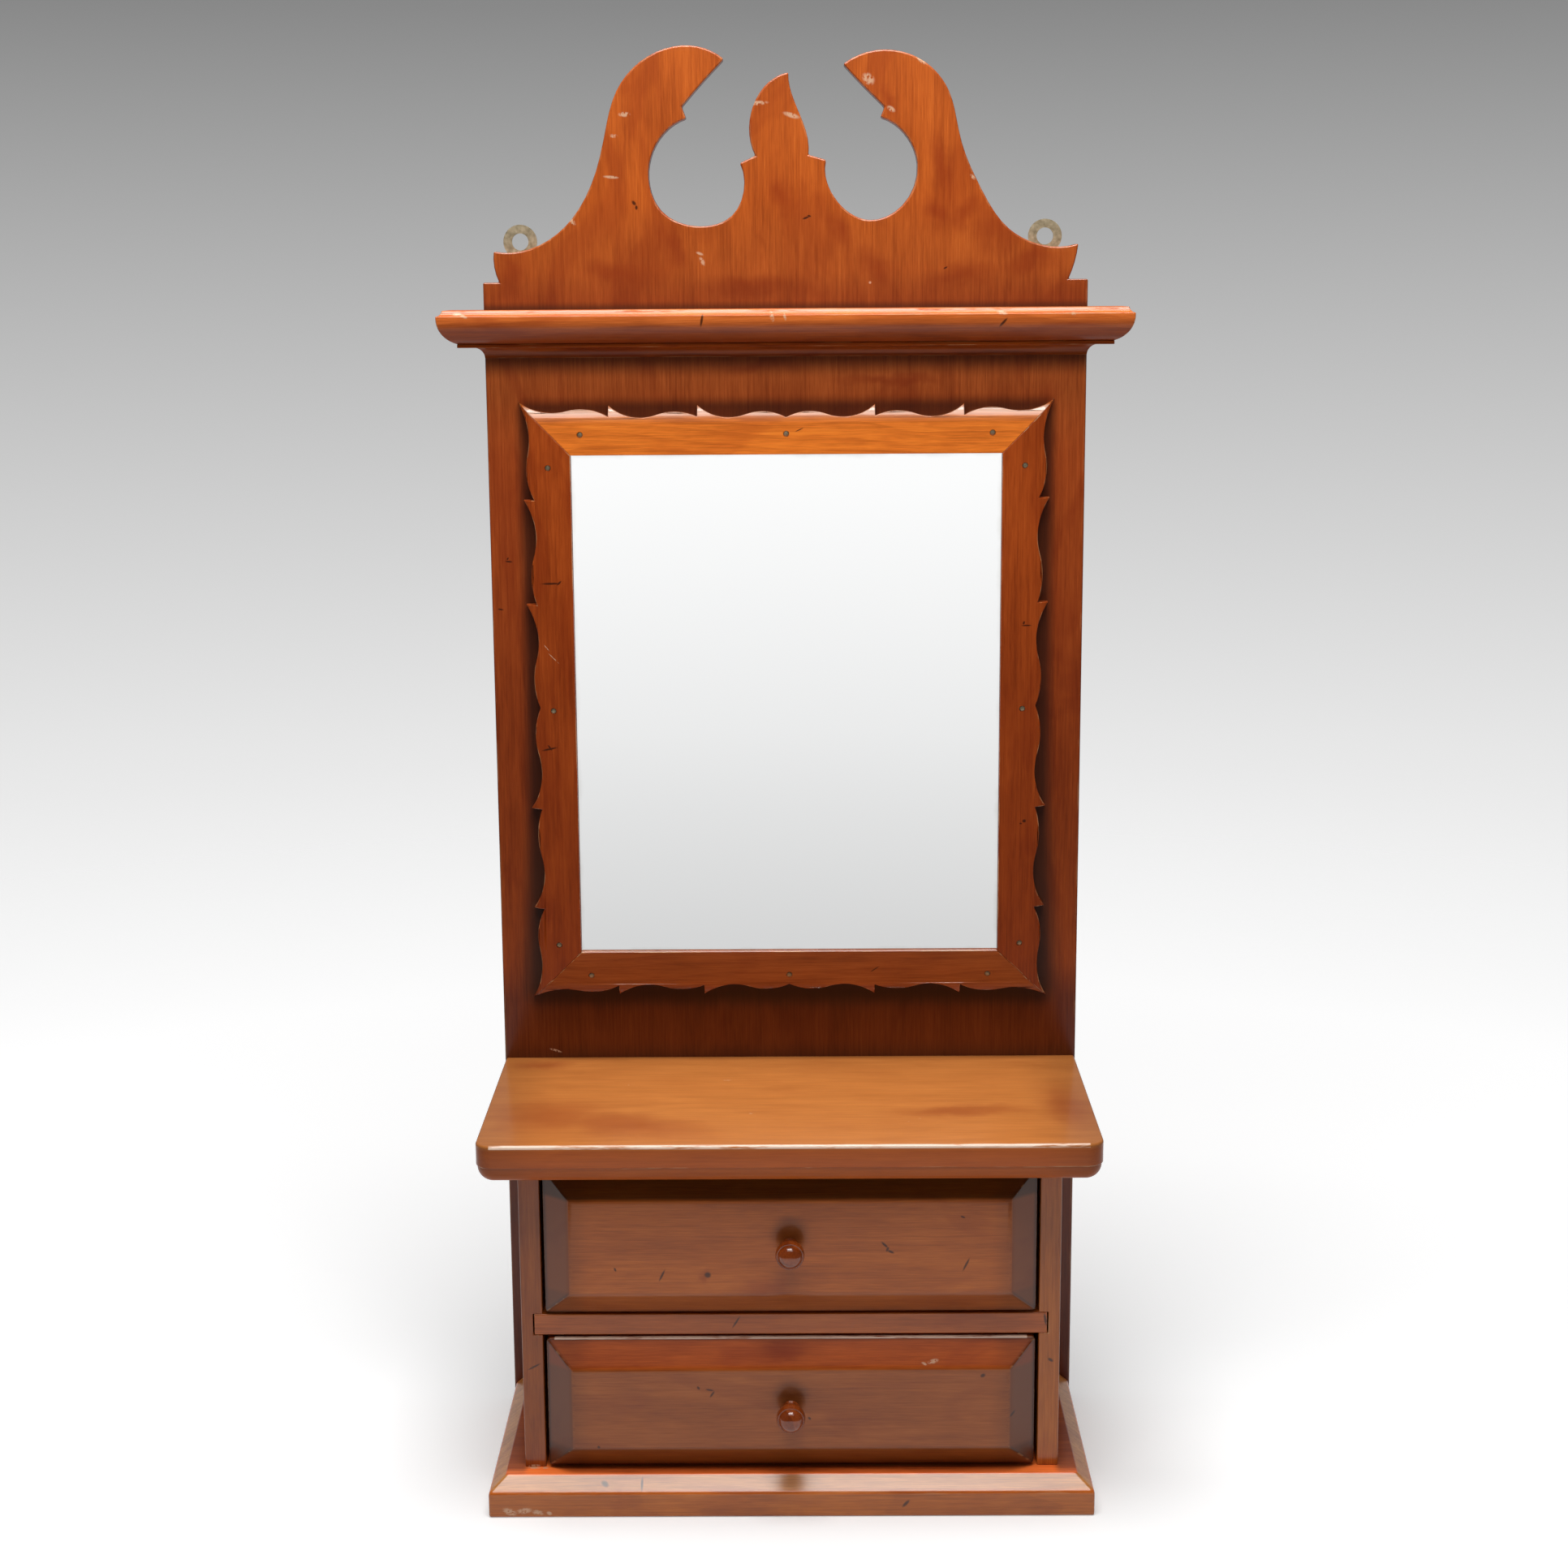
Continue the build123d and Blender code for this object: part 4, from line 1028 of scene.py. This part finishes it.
def slotted_screw():
    """A countersunk screw with a slot and a thread, pointing down from the origin."""
    group, tree, given = group_tree(
        "slotted_screw",
        ("Head Radius", "Shank Radius", "Length", "Sink", "Slot Width", "Slot Depth", "Pitch"),
    )
    head_radius, radius = given.out("Head Radius"), given.out("Shank Radius")
    sink, length = given.out("Sink"), given.out("Length")
    cone_height = head_radius - radius
    head = cone(tree, screw_head_sides, head_radius, radius, cone_height)
    head = placed(tree, head, 0.0 - sink - cone_height)
    slot_size = vector(
        tree, head_radius * 2.4, given.out("Slot Width"), given.out("Slot Depth") * 2.0
    )
    slot = placed(tree, tree.node("GeometryNodeMeshCube", None, {"Size": slot_size}), 0.0 - sink)
    slotted = tree.node(
        "GeometryNodeMeshBoolean", {"operation": "DIFFERENCE", "solver": "EXACT"},
        {"Mesh 1": head, "Mesh 2": slot},
    )
    # The core is thinner than the shank, and the thread winds round its lower part.
    core_radius, core_length = radius * 0.72, length - sink - cone_height - radius
    core = rod(tree, shank_sides, core_radius, core_length)
    core = placed(tree, core, 0.0 - sink - cone_height - core_length * 0.5)
    point = placed(tree, cone(tree, shank_sides, core_radius, 0.0, radius), 0.0 - length)
    winding_radius, thread_length = radius * 0.8, core_length * 0.66
    spiral = tree.node(
        "GeometryNodeCurveSpiral", None,
        {"Resolution": 14, "Rotations": thread_length / given.out("Pitch"),
         "Start Radius": winding_radius, "End Radius": winding_radius, "Height": thread_length},
    )
    ridge = tree.node(
        "GeometryNodeCurvePrimitiveCircle", None, {"Resolution": 3, "Radius": radius * 0.19}
    )
    thread = tree.node(
        "GeometryNodeCurveToMesh", None,
        {"Curve": spiral, "Profile Curve": ridge, "Fill Caps": True},
    )
    thread = placed(tree, thread, 0.0 - length + radius)
    at_every_spot(tree, given, joined(tree, slotted, core, point, thread))
    return group


def fasteners(node_name, tree, finish, **lengths_mm):
    """One mesh of all fasteners of a node, built by the tree with these lengths."""
    spots = in_scene(node_name + "_seat", fastener_spots(node_name, lengths_mm["sink"] * mm))
    build = spots.modifiers.new("build", "NODES")
    build.node_group = tree
    inputs = {s.name: s for s in tree.interface.items_tree if s.in_out == "INPUT"}
    for label, value in lengths_mm.items():
        build[inputs[label.replace("_", " ").title()].identifier] = float(value * mm)
    build[inputs["Finish"].identifier] = finish
    evaluated = spots.evaluated_get(bpy.context.evaluated_depsgraph_get())
    mesh = bpy.data.meshes.new_from_object(evaluated)
    bpy.data.objects.remove(spots)
    mesh.shade_smooth()
    mesh.set_sharp_from_angle(angle=fastener_crease_angle)
    stand_in(node_name + "_made", mesh, node_name)


pin_tree, screw_tree = domed_pin(), slotted_screw()
fasteners("frame_pins", pin_tree, pin_brass, head_radius=1.6, head_height=0.7, shank_radius=0.75,
          length=17.0, sink=0.7)
for nails in ("upper_drawer_nails", "lower_drawer_nails"):
    fasteners(nails, pin_tree, steel, head_radius=1.5, head_height=0.6, shank_radius=0.8,
              length=20.0, sink=0.0)
for long_screws in ("back_screws", "base_screws"):
    fasteners(long_screws, screw_tree, steel, head_radius=3.6, shank_radius=1.75, length=32.0,
              sink=0.3, slot_width=0.9, slot_depth=1.0, pitch=1.9)
fasteners("hanger_screws", screw_tree, steel, head_radius=2.55, shank_radius=1.4, length=10.0,
          sink=0.0, slot_width=0.9, slot_depth=1.0, pitch=1.4)


# ---------------------------------------------------------------- floor, air, lamps, camera

# Elevation in degrees and grey of what the camera sees behind the object.
backdrop = [(-23.0, 1.0), (-17.6, 0.973), (-14.0, 0.896), (-10.3, 0.799), (-4.8, 0.617),
            (0.5, 0.429), (5.7, 0.246)]
# The same for what a clean mirror sees in front of the object.
seen_in_mirror = [(-14.9, 0.680), (-13.86, 0.716), (-12.03, 0.777), (-10.2, 0.848), (-8.37, 0.898),
                  (-6.55, 0.949), (-4.55, 1.0)]
# What lights the object besides the lamps, by how far back it comes from: front, sides, behind.
air_light = [(0.0, grey(0.05)), (0.5, grey(0.12)), (1.0, grey(0.38))]
gloss_share = 0.6
lowest, highest = -0.45, 0.15  # ends of the scale of heights that both lists are spread over


def by_elevation(tree, upward, stops):
    """Grey by the height of a direction, from (elevation, grey) pairs."""
    share = tree.node("ShaderNodeMapRange", None, {0: upward, 1: lowest, 2: highest})
    spots = [((math.sin(math.radians(e)) - lowest) / (highest - lowest), grey(v)) for e, v in stops]
    return tree.ramp(share, spots)


def make_air():
    """The light from all round, and what the camera and the mirror see there."""
    air = bpy.data.worlds.new("studio_air")
    air.use_nodes = True
    air.node_tree.nodes.clear()
    tree = Tree(air.node_tree)
    direction = tree.node("ShaderNodeTexCoord").out("Generated")
    _, backward, upward = tree.xyz(direction)
    path = tree.node("ShaderNodeLightPath")
    share = tree.mix(path.out("Is Glossy Ray"), opaque(grey(1.0)), opaque(grey(gloss_share)))
    plain = tree.vector_math("MULTIPLY", tree.ramp(backward * 0.5 + 0.5, air_light), share)
    mirrored = by_elevation(tree, upward, seen_in_mirror)
    seen = tree.mix(path.out("Is Singular Ray"), plain, mirrored)
    seen = tree.mix(path.out("Is Camera Ray"), seen, by_elevation(tree, upward, backdrop))
    light = tree.node("ShaderNodeBackground", None, {"Color": seen, "Strength": 1.0})
    tree.node("ShaderNodeOutputWorld", None, {"Surface": light})
    bpy.context.scene.world = air


def make_floor():
    """A pale round floor that keeps the object's shadow and fades into the air further out."""
    radius = 3.2
    mesh = bpy.data.meshes.new("floor")
    disc = bmesh.new()
    bmesh.ops.create_circle(disc, cap_ends=True, segments=96, radius=radius)
    disc.to_mesh(mesh)
    disc.free()
    floor = in_scene("floor", mesh)
    finish, tree = new_finish("pale_floor")
    away = tree.length(tree.place())
    path = tree.node("ShaderNodeLightPath")
    lit = tree.node("ShaderNodeBsdfDiffuse", None, {"Color": opaque(grey(0.8))})
    lift = tree.ramp(away / 3.0, [(0.0, grey(0.20)), (0.33, grey(0.54)), (0.7, grey(0.66))])
    looked_at = tree.math("MAXIMUM", path.out("Is Camera Ray"), path.out("Is Glossy Ray"))
    glow = tree.node("ShaderNodeEmission", None, {"Color": lift, "Strength": looked_at})
    shown = tree.node("ShaderNodeAddShader", None, {0: lit, 1: glow})
    clear = tree.node("ShaderNodeBsdfTransparent")
    gone_in_gloss = tree.fade(away, 0.55, 1.0) * path.out("Is Glossy Ray")
    gone = tree.most([tree.fade(away, 0.7, 2.2), gone_in_gloss, path.out("Is Singular Ray")])
    close_finish(tree, tree.node("ShaderNodeMixShader", None, {0: gone, 1: shown, 2: clear}))
    mesh.materials.append(finish)


def softbox(name, place, target, width, height, power):
    """A rectangular lamp at place that looks at target."""
    lamp = bpy.data.lights.new(name, "AREA")
    lamp.shape, lamp.size, lamp.size_y, lamp.energy = "RECTANGLE", width, height, power
    holder = in_scene(name, lamp)
    holder.location = place
    aim = Vector(target) - Vector(place)
    holder.rotation_mode = "QUATERNION"
    holder.rotation_quaternion = aim.to_track_quat("-Z", "Y")


def make_camera():
    """The photograph's view: just below eye height, tilted down on the middle of the mirror."""
    lens = bpy.data.cameras.new("camera")
    lens.sensor_width, lens.lens = 36.0, 58.257
    camera = in_scene("camera", lens)
    yaw, pitch, roll = math.radians(0.3470), math.radians(11.4114), math.radians(-0.36584)
    turn = (
        Matrix.Rotation(yaw, 4, "Z")
        @ Matrix.Rotation(math.pi / 2 - pitch, 4, "X")
        @ Matrix.Rotation(roll, 4, "Z")
    )
    camera.matrix_world = Matrix.Translation((6.1 * mm, -1345.3 * mm, 661 * mm)) @ turn
    bpy.context.scene.camera = camera


make_air()
make_floor()
softbox("overhead_softbox", (-0.06, -0.27, 1.75), (-0.02, -0.1, 0.3), 1.0, 0.62, 23.5)
softbox("front_softbox", (0.0, -0.6, 1.15), (0.0, 0.0, 0.6), 0.8, 0.3, 3.6)
make_camera()
bpy.context.scene.view_settings.view_transform = "Standard"
